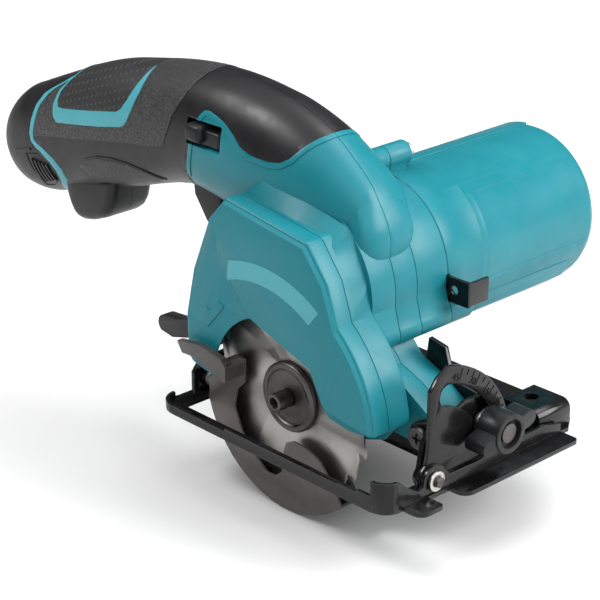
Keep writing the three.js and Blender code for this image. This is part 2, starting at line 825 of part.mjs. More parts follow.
function motorCan() {
  return cut(
    rodY(0, MOTOR_Z, 22, 52, 111, 32),
    rodY(0, MOTOR_Z, 20.6, 51, 109.4, 32),
    rodY(0, MOTOR_Z, 3, 105, 115, 16),
  );
}

function fieldMagnet(middle) {
  const outline = [
    ...arc(0, MOTOR_Z, 20.2, middle - 60, middle + 60, 10),
    ...arc(0, MOTOR_Z, 17.2, middle + 60, middle - 60, 10),
  ];
  return prismY(outline, 58, 94);
}

// A slotted core: a drum with shallow grooves between its poles.
function armatureCore() {
  const drum = rodY(0, MOTOR_Z, 16.4, 60, 92, 30);
  const grooves = Array.from({ length: 8 }, (_, i) => {
    const t = (i * Math.PI) / 4;
    return rodY(15.5 * Math.cos(t), MOTOR_Z + 15.5 * Math.sin(t), 2, 55, 97, 8);
  });
  return cut(drum, ...grooves, rodY(0, MOTOR_Z, 2.3, 55, 97, 12));
}

function coolingFan() {
  const hub = ringY(0, MOTOR_Z, 7, 2.3, 37, 44.4, 16);
  const disc = ringY(0, MOTOR_Z, 26, 6, 37, 38.2, 28);
  const vanes = Array.from({ length: 9 }, (_, i) => {
    const vane = new THREE.BoxGeometry(19, 6, 1.2).translate(15.2, 40.6, 0);
    return solidOf(vane.rotateY((i * 2 * Math.PI) / 9).translate(0, 0, MOTOR_Z));
  });
  return join(hub, disc, ...vanes);
}

// A spur gear with short straight-flanked teeth; phase turns it by a share of one tooth.
function spurGear(x, z, teeth, module, bore, y0, y1, phase) {
  const pitch = (teeth * module) / 2;
  const step = (2 * Math.PI) / teeth;
  const profile = [
    [-0.34, pitch - 0.95 * module],
    [-0.2, pitch],
    [-0.11, pitch + 0.6 * module],
    [0.11, pitch + 0.6 * module],
    [0.2, pitch],
    [0.34, pitch - 0.95 * module],
  ];
  const outline = [];
  for (let i = 0; i < teeth; i++) {
    for (const [share, radius] of profile) {
      const t = (i + share + phase) * step;
      outline.push([x + radius * Math.cos(t), z + radius * Math.sin(t)]);
    }
  }
  return cut(prismY(outline, y0, y1), rodY(x, z, bore, y0 - 1, y1 + 1, 16));
}

// Teeth meet on the vertical line through the three shafts. A gear's tooth points straight up
// when a quarter of its teeth, plus its phase, is a whole number.
const toothUp = (teeth) => -(teeth / 4) % 1;
const gapUp = (teeth) => toothUp(teeth) + 0.5;
const toothDown = (teeth) => toothUp(teeth) + (teeth % 2 ? 0.5 : 0);
const gapDown = (teeth) => toothDown(teeth) + 0.5;

add("motor_can", motorCan(), DARK_STEEL);
add("field_magnet_front", fieldMagnet(0), MAGNET);
add("field_magnet_rear", fieldMagnet(180), MAGNET);
add("motor_shaft", rodY(0, MOTOR_Z, 2, 14.2, 116, 16), BRIGHT_STEEL);
add("armature_core", armatureCore(), DARK_STEEL);
add("commutator", ringY(0, MOTOR_Z, 8, 2.3, 96, 106), COPPER);
add("brush_front", box([8.4, 14], [98, 104], [MOTOR_Z - 2, MOTOR_Z + 2]), MAGNET);
add("brush_rear", box([-14, -8.4], [98, 104], [MOTOR_Z - 2, MOTOR_Z + 2]), MAGNET);
add("cooling_fan", coolingFan(), BLACK_PLASTIC);
add("motor_bearing_front", ringY(0, MOTOR_Z, 6.5, 2.3, 24.1, 28), BRIGHT_STEEL);
add("motor_bearing_rear", ringY(0, MOTOR_Z, 6.5, 2.3, 111.8, 115.8), BRIGHT_STEEL);

// ---------------------------------------------------------------- gear train and spindle

add(
  "motor_pinion",
  spurGear(0, MOTOR_Z, PINION_TEETH, FAST_MODULE, 2.3, 15.9, 20.5, toothDown(PINION_TEETH)),
  BRIGHT_STEEL,
);
add(
  "idler_gear",
  spurGear(0, IDLER_Z, IDLER_TEETH, FAST_MODULE, 3.3, 16.2, 19.4, gapUp(IDLER_TEETH)),
  BRIGHT_STEEL,
);
add(
  "idler_pinion",
  spurGear(0, IDLER_Z, IDLER_PINION_TEETH, SLOW_MODULE, 3.3, 10.3, 13.6, toothDown(IDLER_PINION_TEETH)),
  BRIGHT_STEEL,
);
add("idler_shaft", rodY(0, IDLER_Z, 3, 7.6, 22.6, 16), BRIGHT_STEEL);
add(
  "drive_gear",
  spurGear(0, SPINDLE_Z, DRIVE_TEETH, SLOW_MODULE, 5.3, 10.3, 13.3, gapUp(DRIVE_TEETH)),
  BRIGHT_STEEL,
);

function spindle() {
  const shaft = join(rodY(0, SPINDLE_Z, 5, -0.4, 13.4), rodY(0, SPINDLE_Z, 4, 13, 15.4, 16));
  return cut(shaft, rodY(0, SPINDLE_Z, 3.3, -2, 10, 16));
}

function innerFlange() {
  return cut(
    join(rodY(0, SPINDLE_Z, 14.5, 0.8, 3, 32), rodY(0, SPINDLE_Z, 7.2, -0.4, 1.5)),
    rodY(0, SPINDLE_Z, 5.3, -2, 5),
  );
}

// The outer flange is dished: a raised rim, a groove and a raised hub under the bolt head.
function outerFlange() {
  const disc = turnedY(
    0,
    SPINDLE_Z,
    [
      [0, -2.6],
      [10, -2.2],
      [11.4, -2.2],
      [11.8, -3],
      [13.8, -3],
      [14.5, -2.4],
      [14.5, -0.8],
      [0, -0.8],
    ],
    32,
  );
  return cut(disc, rodY(0, SPINDLE_Z, 3.3, -5, 2, 16));
}

function bladeBolt() {
  const socket = rodY(0, SPINDLE_Z, 2.5, -11, -5.5, 6);
  return cut(
    join(rodY(0, SPINDLE_Z, 3.75, -10.3, -2.9, 20), rodY(0, SPINDLE_Z, 3, -4, 9, 16)),
    socket,
  );
}

// Circular saw blade: each tooth is a hooked tip, a sloped back and a rounded gullet.
function sawBlade() {
  const outline = [];
  const step = (2 * Math.PI) / BLADE_TEETH;
  const tooth = [
    [0, 37.8],
    [0.08, 40],
    [0.03, BLADE_RADIUS],
    [0.2, BLADE_RADIUS - 0.4],
    [0.42, 40.6],
    [0.78, 39.6],
  ];
  for (let i = 0; i < BLADE_TEETH; i++) {
    for (const [share, radius] of tooth) {
      const t = (i + share) * step;
      outline.push([radius * Math.cos(t), SPINDLE_Z + radius * Math.sin(t)]);
    }
  }
  return cut(prismY(outline, -BLADE_HALF, BLADE_HALF), rodY(0, SPINDLE_Z, 7.5, -2, 2));
}

add("spindle", spindle(), BRIGHT_STEEL);
add("spindle_bearing", ringY(0, SPINDLE_Z, 10, 5.3, 6.2, 9.4), BRIGHT_STEEL);
add("needle_bearing", ringY(0, SPINDLE_Z, 7, 4.3, 13.7, 15.4, 16), BRIGHT_STEEL);
add("inner_flange", innerFlange(), DARK_STEEL);
add("outer_flange", outerFlange(), DARK_STEEL);
add("blade_bolt", bladeBolt(), DARK_STEEL);
add("saw_blade", sawBlade(), BRIGHT_STEEL);

// ---------------------------------------------------------------- lower guard

// Two walls and a rim round the lower half of the blade. The near wall dips to show the blade,
// rises in a tongue beside the flange, and carries the arm of the thumb lever at the rear.
function lowerGuard() {
  const [back, front] = [196, 313];
  const rimPoints = (radius, from, to) => arc(1.2, SPINDLE_Z - 0.4, radius, from, to, 18);
  const rim = prismY(
    [...rimPoints(GUARD_RADIUS, back, front), ...rimPoints(GUARD_RADIUS - 1, front, back)],
    -GUARD_HALF,
    GUARD_HALF,
  );
  const farWall = prismY(
    [...rimPoints(GUARD_RADIUS - 0.5, back, front), ...arc(0, SPINDLE_Z, 12.6, front, back, 8)],
    GUARD_HALF - 1,
    GUARD_HALF,
  );
  const hub = ringY(0, SPINDLE_Z, 15, 12.4, GUARD_HALF - 1, GUARD_HALF);
  const nearWall = prismY(
    [
      ...rimPoints(GUARD_RADIUS - 0.5, back, front),
      [28, -10],
      [21, -2.6],
      [13.3, 0.4],
      [6, 1],
      [2, -1],
      [0.6, -5],
      [-0.6, -14.8],
      [-4.7, -18],
      [-9.5, -18.2],
      [-15.5, -14.2],
      [-24, -6],
      [-28.4, 4],
      [-26.9, 12],
      [-22, 17],
      [-22, 27],
      [-28, 27],
      [-36, 22],
      [-43.2, 12],
    ],
    -GUARD_HALF,
    -GUARD_HALF + 1,
  );
  const link = box([-24.6, -22.2], [-15.6, -GUARD_HALF + 1], [20.2, 26]);
  const leverFace = prismY(
    [
      [-51, 29],
      [-48, 24.5],
      [-41, 25],
      [-34, 23],
      [-25, 20.2],
      [-22.2, 20.2],
      [-22.2, 26],
      [-25, 29],
      [-38, 31],
    ],
    -15.6,
    -14.4,
  );
  const leverShelf = prismY(
    [
      [-51, 29],
      [-50, 27.8],
      [-38, 29.8],
      [-25, 27.8],
      [-25, 29],
      [-38, 31],
    ],
    -15.2,
    -12.5,
  );
  return join(rim, farWall, hub, nearWall, link, leverFace, leverShelf);
}

const guardSpring = () =>
  solidOf(
    new THREE.TorusGeometry(13.4, 0.35, 6, 24).rotateX(Math.PI / 2).translate(0, 6.4, SPINDLE_Z),
  );

add("lower_guard", lowerGuard(), GUARD_STEEL);
add("guard_spring", guardSpring(), BRIGHT_STEEL);

// ---------------------------------------------------------------- controls

function trigger() {
  return prismY(
    [
      [-74, 86],
      [-73, 78],
      [-66, 68.5],
      [-60, 64],
      [-56, 65],
      [-57, 72],
      [-56, 80],
      [-55, 90],
      [-72, 90],
    ],
    HANDLE_Y - 7.5,
    HANDLE_Y + 7.5,
  );
}

// The depth lever clamps the saw to the rear bracket's slot.
function depthLever() {
  const [x, z] = DEPTH_BOLT;
  const arm = prismY(
    [
      [x + 2, z - 7.5],
      [x - 20, z - 15],
      [x - 43, z - 21.5],
      ...arc(x - 48, z - 17, 4.2, 235, 100, 5),
      [x - 39, z - 12],
      [x - 20, z - 6],
      [x - 2, z + 7.5],
    ],
    GUIDE_Y[1] + 1.8,
    20,
  );
  return cut(join(arm, rodY(x, z, 7.5, GUIDE_Y[1] + 1, 20)), rodY(x, z, 2.8, 5, 25, 16));
}

function depthBolt() {
  const [x, z] = DEPTH_BOLT;
  return join(rodY(x, z, 2.5, 6, 22, 16), rodY(x, z, 4.5, 20 + GAP, 23.5, 6));
}

add("trigger", trigger(), BLACK_PLASTIC);
add("trigger_switch", box([-80, -52], [HANDLE_Y - 7, HANDLE_Y + 7], [94, 114]), BLACK_PLASTIC);
add("lock_off_button", box([-61, -43], [-1.5, 9], [106, 115.2]), BLACK_PLASTIC);
add("depth_lever", depthLever(), GRIP_RUBBER);
add("depth_bolt", depthBolt(), DARK_STEEL);

// ---------------------------------------------------------------- battery

// The battery slides into the handle along the line of the cells.
const BATTERY_SLOPE = THREE.MathUtils.degToRad(19.8);
const BATTERY_MOUTH = [-169, 79];
const batteryPoint = (along, up) => [
  BATTERY_MOUTH[0] + along * Math.cos(BATTERY_SLOPE) - up * Math.sin(BATTERY_SLOPE),
  BATTERY_MOUTH[1] + along * Math.sin(BATTERY_SLOPE) + up * Math.cos(BATTERY_SLOPE),
];

// A ring across the battery at one place along it, from height low to height high.
function batteryRing(along, low, high, half, lean = 0) {
  return handleRing(
    { crown: batteryPoint(along - lean, high), belly: batteryPoint(along + lean, low), half },
    0,
  );
}

const STICK_END = 54;
function batteryCase() {
  const cap = loft([
    batteryRing(-29.5, -7, 5, 7.5),
    batteryRing(-28, -12.5, 11.5, 11.5),
    batteryRing(-24.5, -18, 17.5, 14.5),
    batteryRing(-18, -22, 21.6, 16.5),
    batteryRing(-9, -24, 24, 17.6),
    batteryRing(-GAP, -24.9, 24.6, 18),
  ]);
  const stick = loft([batteryRing(-2, -18, 18, 15.2), batteryRing(STICK_END, -18, 18, 15.2)]);
  const space = loft([batteryRing(1, -16.9, 16.9, 14.1), batteryRing(STICK_END + 1, -16.9, 16.9, 14.1)]);
  const buttonPockets = [-1, 1].map((side) => releaseButtonBlock(side, 0.4, 12));
  return cut(join(cap, stick), space, ...buttonPockets);
}

// Ribbed thumb piece on either side of the cap.
function releaseButtonBlock(side, grow, inner) {
  const outer = 21;
  const outline = [
    batteryPoint(-22 - grow, -15 - grow),
    batteryPoint(-6 + grow, -15 - grow),
    batteryPoint(-6 + grow, -1 + grow),
    batteryPoint(-22 - grow, -1 + grow),
  ];
  const [y0, y1] = [HANDLE_Y + side * inner, HANDLE_Y + side * outer];
  return prismY(outline, Math.min(y0, y1), Math.max(y0, y1));
}

const releaseButton = (side) =>
  releaseButtonBlock(side, 0, 14.5).intersect(
    loft([batteryRing(-28, -24, 24, 16.6), batteryRing(-2, -24, 24, 18.6)]),
  );

const CELL_RADIUS = 6.2;
function batteryCell(y, up) {
  const cell = new THREE.CylinderGeometry(CELL_RADIUS, CELL_RADIUS, 46, 16);
  const [x, z] = batteryPoint(26, up);
  cell.rotateZ(-Math.PI / 2).rotateY(-BATTERY_SLOPE);
  return solidOf(cell.translate(x, HANDLE_Y + y, z));
}

const terminalRing = (from, to, half) => loft([from, to].map((a) => batteryRing(a, -12, 12, half)));

add("battery_case", batteryCase(), BLACK_PLASTIC);
add("battery_cell_1", batteryCell(-6.4, -4.5), CELL_WRAP);
add("battery_cell_2", batteryCell(6.4, -4.5), CELL_WRAP);
add("battery_cell_3", batteryCell(0, 6.9), CELL_WRAP);
add("battery_terminals", terminalRing(50, STICK_END - 1, 11), COPPER);
add("terminal_block", terminalRing(STICK_END + 1, STICK_END + 7, 12), BLACK_PLASTIC);
add("release_button_right", releaseButton(-1), BLACK_PLASTIC);
add("release_button_left", releaseButton(1), BLACK_PLASTIC);

// ---------------------------------------------------------------- accessory bracket

// Black sheet-steel hook that comes out of the motor seam and is bent outwards along Y.
function accessoryBracket() {
  const arm = box([33.4, 46], [MOTOR_SEAM_Y - 0.7, MOTOR_SEAM_Y + 0.9], [53.6, 64]);
  const tip = box([44.4, 46], [MOTOR_SEAM_Y - 0.7, MOTOR_SEAM_Y + 11], [54, 63.6]);
  const hole = rodY(38.5, 59, 1.9, MOTOR_SEAM_Y - 2, MOTOR_SEAM_Y + 2, 12);
  return cut(join(arm, tip), hole);
}

add("accessory_bracket", accessoryBracket(), BLACK_STEEL);

export default root;
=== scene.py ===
"""Looks for a compact cordless circular saw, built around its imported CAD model.

Points in this file are in millimetres, with the blade's middle plane at y = 0, the underside of the
sole at z = 0 and the blade axis at x = 0. `to_row` turns them into the row frame, in metres.
+X is the cutting direction, +Y points from the blade to the motor, +Z is up.
"""

import json
import math

import bmesh
import bpy
from mathutils import Matrix, Vector


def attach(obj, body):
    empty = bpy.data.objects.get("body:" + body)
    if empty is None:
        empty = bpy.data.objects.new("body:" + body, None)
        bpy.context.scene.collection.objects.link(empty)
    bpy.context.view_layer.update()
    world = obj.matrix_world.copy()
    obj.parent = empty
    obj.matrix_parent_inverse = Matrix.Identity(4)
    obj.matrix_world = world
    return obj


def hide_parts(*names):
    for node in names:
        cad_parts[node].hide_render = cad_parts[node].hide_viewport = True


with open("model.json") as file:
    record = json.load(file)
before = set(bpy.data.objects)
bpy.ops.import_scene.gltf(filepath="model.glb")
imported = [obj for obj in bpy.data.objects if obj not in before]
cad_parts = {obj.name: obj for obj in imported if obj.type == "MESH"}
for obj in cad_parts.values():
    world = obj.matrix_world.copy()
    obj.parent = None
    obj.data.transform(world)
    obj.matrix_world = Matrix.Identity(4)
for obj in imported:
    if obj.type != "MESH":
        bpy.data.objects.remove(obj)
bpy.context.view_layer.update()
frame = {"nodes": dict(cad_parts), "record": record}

MM = 0.001
ORIGIN_Y = 40  # the row frame's origin, from the blade plane
SPINDLE = (0, 17)
IDLER = (0, 34)
MOTOR = (0, 62.8)
PIVOT = (59.5, 17.4)  # the depth pivot
HANDLE_Y = 21
MOTOR_RADIUS = 34.5
MOTOR_SIDES = 160
MOTOR_END_Y = 143
UPPER_SCREW = (-2, 102.5)
LOWER_SCREW = (32, 48)
GRIP_SLOPE = math.radians(19.8)
GRIP_MOUTH = (-169, 79)
TILT = (3.6, 6.5)  # y and height of the tilt pins


def to_row(x, y, z):
    return Vector((x, y - ORIGIN_Y, z)) * MM


def placed(name, data):
    """A new object in the scene."""
    obj = bpy.data.objects.new(name, data)
    bpy.context.scene.collection.objects.link(obj)
    return obj


# ---------------------------------------------------------------- materials


# Sockets of the Mix node for each kind of value: the two inputs and the output.
MIX_SOCKETS = {"RGBA": (6, 7, 2), "FLOAT": (2, 3, 0)}


class Look:
    """A node material on one Principled shader. Lengths are in millimetres of the object."""

    def __init__(self, name, color, rough, metal=0.0, coat=0.0, specular=0.5):
        self.material = bpy.data.materials.new(name)
        self.material.use_nodes = True
        self.tree = self.material.node_tree
        self.shader = self.tree.nodes["Principled BSDF"]
        self.shader.inputs["Base Color"].default_value = (*color, 1)
        self.shader.inputs["Roughness"].default_value = rough
        self.shader.inputs["Metallic"].default_value = metal
        self.shader.inputs["Coat Weight"].default_value = coat
        self.shader.inputs["Specular IOR Level"].default_value = specular
        self.place = self.node("ShaderNodeTexCoord").outputs["Object"]

    def node(self, kind, **settings):
        made = self.tree.nodes.new(kind)
        for key, value in settings.items():
            setattr(made, key, value)
        return made

    def link(self, source, target):
        self.tree.links.new(source, target)

    def stretched(self, scale):
        mapping = self.node("ShaderNodeMapping")
        mapping.inputs["Scale"].default_value = scale
        self.link(self.place, mapping.inputs["Vector"])
        return mapping.outputs[0]

    def noise(self, size, detail=4.0, stretch=None, rough=0.55):
        """Noise with features about `size` millimetres wide."""
        made = self.node("ShaderNodeTexNoise")
        made.inputs["Scale"].default_value = 1 / (size * MM)
        made.inputs["Detail"].default_value = detail
        made.inputs["Roughness"].default_value = rough
        self.link(self.stretched(stretch) if stretch else self.place, made.inputs["Vector"])
        return made.outputs["Fac"]

    def math(self, kind, *values):
        made = self.node("ShaderNodeMath", operation=kind)
        for socket, value in zip(made.inputs, values):
            if isinstance(value, (int, float)):
                socket.default_value = value
            else:
                self.link(value, socket)
        return made.outputs[0]

    def ramp(self, value, low, high, out_low=0.0, out_high=1.0):
        made = self.node("ShaderNodeMapRange", interpolation_type="SMOOTHSTEP")
        numbers = {"From Min": low, "From Max": high, "To Min": out_low, "To Max": out_high}
        for name, number in numbers.items():
            made.inputs[name].default_value = number
        self.link(value, made.inputs["Value"])
        return made.outputs[0]

    def mix_in(self, socket_name, kind, mask, value):
        """Moves what the shader's socket has so far towards a value where the mask is 1."""
        first, second, result = MIX_SOCKETS[kind]
        mix = self.node("ShaderNodeMix", data_type=kind)
        socket = self.shader.inputs[socket_name]
        if socket.is_linked:
            self.link(socket.links[0].from_socket, mix.inputs[first])
        else:
            mix.inputs[first].default_value = socket.default_value
        mix.inputs[second].default_value = value
        self.link(mask, mix.inputs["Factor"])
        self.link(mix.outputs[result], socket)

    def tint(self, mask, color):
        self.mix_in("Base Color", "RGBA", mask, (*color, 1))

    def vary_rough(self, mask, rough):
        self.mix_in("Roughness", "FLOAT", mask, rough)

    def bump(self, height, depth):
        """Adds a relief of `depth` millimetres."""
        made = self.node("ShaderNodeBump")
        made.inputs["Distance"].default_value = depth * MM
        self.link(height, made.inputs["Height"])
        normal = self.shader.inputs["Normal"]
        if normal.is_linked:
            self.link(normal.links[0].from_socket, made.inputs["Normal"])
        self.link(made.outputs[0], normal)

    def edges(self, radius, strength):
        """A mask that is 1 along sharp outer edges, broken up by noise."""
        rounded = self.node("ShaderNodeBevel", samples=4)
        rounded.inputs["Radius"].default_value = radius * MM
        geometry = self.node("ShaderNodeNewGeometry")
        dot = self.node("ShaderNodeVectorMath", operation="DOT_PRODUCT")
        self.link(rounded.outputs[0], dot.inputs[0])
        self.link(geometry.outputs["Normal"], dot.inputs[1])
        turned = self.math("SUBTRACT", 1.0, dot.outputs["Value"])
        edge = self.ramp(turned, 0.02, 0.22)
        broken = self.ramp(self.noise(3.0), 0.38, 0.62, 0.25, strength)
        return self.math("MULTIPLY", edge, broken)

    def spindle_distance(self):
        """Distance from the spindle's axis, in metres."""
        split = self.node("ShaderNodeSeparateXYZ")
        self.link(self.place, split.inputs[0])
        centre = to_row(SPINDLE[0], 0, SPINDLE[1])
        parts = [self.math("SUBTRACT", split.outputs[i], centre[i]) for i in (0, 2)]
        squares = [self.math("MULTIPLY", part, part) for part in parts]
        return self.math("SQRT", self.math("ADD", *squares))

    def rings(self, distance, width, detail):
        """Noise in rings about `width` millimetres wide."""
        made = self.node("ShaderNodeTexNoise", noise_dimensions="1D")
        made.inputs["Scale"].default_value = 1 / (width * MM)
        made.inputs["Detail"].default_value = detail
        self.link(distance, made.inputs["W"])
        return made.outputs["Fac"]


TEAL = (0.004, 0.132, 0.162)
TEAL_LIGHT = (0.05, 0.25, 0.29)
BLACK = (0.006, 0.006, 0.007)
NECK = (0.005, 0.005, 0.006)


def moulded(name, color, rough, grain=0.35, depth=0.012, wear=True, specular=0.25):
    """Spark-eroded plastic: fine grain, slow colour drift, slightly polished outer edges."""
    look = Look(name, color, rough, specular=specular)
    pale = tuple(min(1.0, c * 1.25 + 0.004) for c in color)
    look.tint(look.ramp(look.noise(38, 3), 0.35, 0.75, 0.0, 0.35), pale)
    look.vary_rough(look.ramp(look.noise(9, 5), 0.35, 0.7), rough + 0.1)
    look.bump(look.noise(grain, 2), depth)
    if wear:
        look.vary_rough(look.edges(0.5, 0.8), max(0.15, rough - 0.15))
    return look.material


def stippled_rubber():
    """Elastomer with a coarse leather-like stipple."""
    look = Look("grip_stipple", (0.008, 0.008, 0.009), 0.50)
    coarse = look.noise(0.9, 3, rough=0.7)
    raised = look.ramp(coarse, 0.44, 0.60)
    look.tint(raised, (0.038, 0.038, 0.039))
    look.vary_rough(raised, 0.38)
    look.bump(raised, 0.30)
    look.bump(look.noise(0.3, 2), 0.03)
    return look.material


def dotted_rubber():
    """Smooth elastomer with rows of small raised dots."""
    look = Look("grip_dots", (0.009, 0.009, 0.010), 0.45)
    flat = look.node("ShaderNodeMapping")
    flat.inputs["Rotation"].default_value = (0, GRIP_SLOPE, 0)
    flat.inputs["Scale"].default_value = (1, 0, 1)
    look.link(look.place, flat.inputs["Vector"])
    cells = look.node("ShaderNodeTexVoronoi")
    cells.inputs["Scale"].default_value = 1 / (3.1 * MM)
    cells.inputs["Randomness"].default_value = 0.0
    look.link(flat.outputs[0], cells.inputs["Vector"])
    dot = look.ramp(cells.outputs["Distance"], 0.10, 0.22, 1.0, 0.0)
    look.tint(dot, (0.03, 0.03, 0.032))
    look.vary_rough(look.noise(5, 3), 0.58)
    look.bump(dot, 0.35)
    look.bump(look.noise(0.4, 2), 0.01)
    return look.material


def painted_steel():
    """Black coated sheet with orange peel, dust and painted highlights along its edges."""
    look = Look("black_coat", (0.004, 0.004, 0.0045), 0.20, coat=0.1, specular=0.22)
    look.tint(look.ramp(look.noise(16, 6), 0.5, 0.8, 0.0, 0.4), (0.010, 0.010, 0.0105))
    look.vary_rough(look.ramp(look.noise(6, 6), 0.42, 0.7), 0.30)
    # painted highlight: the sharp edges are tinted light grey, broken up by noise
    look.tint(look.edges(0.35, 0.6), (0.11, 0.11, 0.11))
    look.bump(look.noise(1.1, 2), 0.02)
    look.bump(look.noise(0.22, 2), 0.004)
    return look.material


def guard_steel():
    """Dark grey-brown coat with fine rubbing marks round the spindle."""
    look = Look("guard_coat", (0.062, 0.056, 0.054), 0.40, metal=0.35)
    look.tint(look.ramp(look.noise(14, 5), 0.4, 0.75, 0.0, 0.6), (0.10, 0.092, 0.089))
    rings = look.rings(look.spindle_distance(), 0.5, 2)
    look.vary_rough(look.ramp(rings, 0.5, 0.8), 0.28)
    # painted highlight: the sharp edges are tinted light grey-brown, broken up by noise
    look.tint(look.edges(0.4, 0.7), (0.25, 0.24, 0.23))
    look.bump(look.noise(0.8, 3), 0.012)
    return look.material


def blade_steel():
    """Ground disc: fine rings round the axis, duller towards the teeth, with patches of tarnish."""
    look = Look("blade_steel", (0.33, 0.315, 0.30), 0.34, metal=1.0)
    distance = look.spindle_distance()
    rings = look.rings(distance, 0.16, 5)
    look.tint(look.ramp(rings, 0.35, 0.7), (0.44, 0.425, 0.41))
    look.tint(look.ramp(distance, 0.034, 0.041, 0.0, 0.55), (0.17, 0.16, 0.15))
    look.tint(look.ramp(look.noise(11, 6), 0.48, 0.75, 0.0, 0.45), (0.27, 0.255, 0.24))
    look.vary_rough(look.ramp(look.noise(7, 5), 0.4, 0.7), 0.42)
    look.bump(rings, 0.012)
    return look.material


STREAK = 18  # length of a brush mark over its width


def bare_steel(name, color, rough, along=1):
    """Turned or drawn steel, brushed along one axis: 0 for X, 1 for Y."""
    look = Look(name, color, rough, metal=1.0)
    stretch = [1.0, 1.0, 1.0]
    stretch[along] = 1 / STREAK
    look.tint(look.ramp(look.noise(6, 5), 0.45, 0.75, 0.0, 0.5), tuple(c * 0.6 for c in color))
    look.vary_rough(look.ramp(look.noise(0.6, 4, stretch), 0.3, 0.7), rough + 0.18)
    look.bump(look.noise(0.35, 3, stretch), 0.006)
    # painted highlight: the sharp edges are tinted lighter than the steel, broken up by noise
    look.tint(look.edges(0.25, 0.5), tuple(min(1, c * 1.5 + 0.05) for c in color))
    return look.material


def wrap_film():
    """Thin blue film shrunk round the battery's cells."""
    look = Look("cell_wrap", (0.03, 0.16, 0.28), 0.3, coat=0.4)
    look.tint(look.ramp(look.noise(8, 3), 0.4, 0.7, 0, 0.4), (0.05, 0.24, 0.38))
    look.bump(look.noise(2.5, 3, (1, 1, 0.2)), 0.05)
    return look.material


def ferrite():
    """Sintered magnet, dark and slightly grainy."""
    look = Look("ferrite", (0.05, 0.05, 0.055), 0.65, metal=0.2)
    look.tint(look.ramp(look.noise(1.2, 6), 0.4, 0.7, 0, 0.7), (0.09, 0.088, 0.09))
    look.bump(look.noise(0.6, 4), 0.04)
    return look.material


def engraving():
    """Deep matte black of the stamped scale."""
    look = Look("engraving", (0.003, 0.003, 0.003), 0.9, specular=0.15)
    look.tint(look.ramp(look.noise(1.0, 4), 0.5, 0.8, 0, 0.5), (0.008, 0.008, 0.008))
    look.bump(look.noise(0.3, 2), 0.01)
    return look.material


def floor_paint():
    """Plain pale floor, hardly uneven."""
    look = Look("floor", (0.62, 0.62, 0.62), 0.6)
    look.tint(look.ramp(look.noise(300, 2), 0.4, 0.7, 0, 0.3), (0.64, 0.64, 0.64))
    look.bump(look.noise(4, 3), 0.02)
    return look.material


LOOKS = {
    "teal": moulded("teal_moulding", TEAL, 0.36),
    "teal_band": moulded("teal_light_moulding", TEAL_LIGHT, 0.34, wear=False),
    "black": moulded("black_moulding", BLACK, 0.36, grain=0.4, depth=0.010),
    "neck": moulded("neck_elastomer", NECK, 0.36, grain=0.45, depth=0.014, specular=0.30),
    "stipple": stippled_rubber(),
    "dots": dotted_rubber(),
    "coat": painted_steel(),
    "guard": guard_steel(),
    "blade": blade_steel(),
    "bright": bare_steel("bright_steel", (0.55, 0.54, 0.52), 0.25),
    "zinc": bare_steel("zinc_plate", (0.50, 0.49, 0.46), 0.32, along=0),
    "oxide": bare_steel("black_oxide", (0.10, 0.095, 0.09), 0.33),
    "copper": bare_steel("copper", (0.60, 0.28, 0.13), 0.3),
    "ferrite": ferrite(),
    "wrap": wrap_film(),
    "print": engraving(),
}

# ---------------------------------------------------------------- mesh helpers


def mesh_object(name, verts, faces):
    """A mesh from points in millimetres, with its normals outwards."""
    mesh = bpy.data.meshes.new(name)
    mesh.from_pydata([to_row(*v) for v in verts], [], faces)
    obj = placed(name, mesh)
    work = bmesh.new()
    work.from_mesh(mesh)
    bmesh.ops.recalc_face_normals(work, faces=work.faces)
    work.to_mesh(mesh)
    work.free()
    return obj


def skin(name, rings):
    """A closed surface through rings of points."""
    count = len(rings[0])
    last = (len(rings) - 1) * count
    faces = []
    for a in range(0, last, count):
        b = a + count
        for j in range(count):
            k = (j + 1) % count
            faces.append((a + j, a + k, b + k, b + j))
    faces.append(tuple(range(count)))
    faces.append(tuple(last + j for j in range(count)))
    return mesh_object(name, [p for ring in rings for p in ring], faces)


def side_ring(outline, y):
    """A side outline, as (x, z) points, at a distance from the blade plane."""
    return [(x, y, z) for x, z in outline]


def prism(name, outline, low, high):
    """A side outline, solid from low to high along Y."""
    return skin(name, [side_ring(outline, low), side_ring(outline, high)])


def box(name, xs, ys, zs):
    return prism(name, [(xs[0], zs[0]), (xs[1], zs[0]), (xs[1], zs[1]), (xs[0], zs[1])], *ys)


def arc(centre, radius, start, end, steps):
    """Points on an arc, between two angles in degrees."""
    angles = [math.radians(start + (end - start) * i / steps) for i in range(steps + 1)]
    return [(centre[0] + radius * math.cos(a), centre[1] + radius * math.sin(a)) for a in angles]


def circle(centre, radius, sides):
    return arc(centre, radius, 0, 360 - 360 / sides, sides - 1)


def rod(name, centre, radius, low, high, sides=48):
    return prism(name, circle(centre, radius, sides), low, high)


def turned(name, centre, profile, sides):
    """A profile of (radius, y) points turned round an axis along Y."""
    return skin(name, [side_ring(circle(centre, radius, sides), y) for radius, y in profile])


def applied(obj):
    """Turns the object's modifiers into its mesh."""
    graph = bpy.context.evaluated_depsgraph_get()
    mesh = bpy.data.meshes.new_from_object(obj.evaluated_get(graph))
    obj.modifiers.clear()
    old = obj.data
    obj.data = mesh
    bpy.data.meshes.remove(old)
    return obj


def combine(obj, operation, *others):
    """Joins, cuts or intersects with other closed objects, which are used up."""
    for other in others:
        modifier = obj.modifiers.new("combine", "BOOLEAN")
        modifier.operation = operation
        modifier.solver = "MANIFOLD"
        modifier.object = other
    applied(obj)
    if not obj.data.polygons:
        raise RuntimeError(f"{obj.name}: {operation} left nothing")
    for other in others:
        bpy.data.meshes.remove(other.data)
    return obj


def join(obj, *others):
    return combine(obj, "UNION", *others)


def cut(obj, *others):
    return combine(obj, "DIFFERENCE", *others)


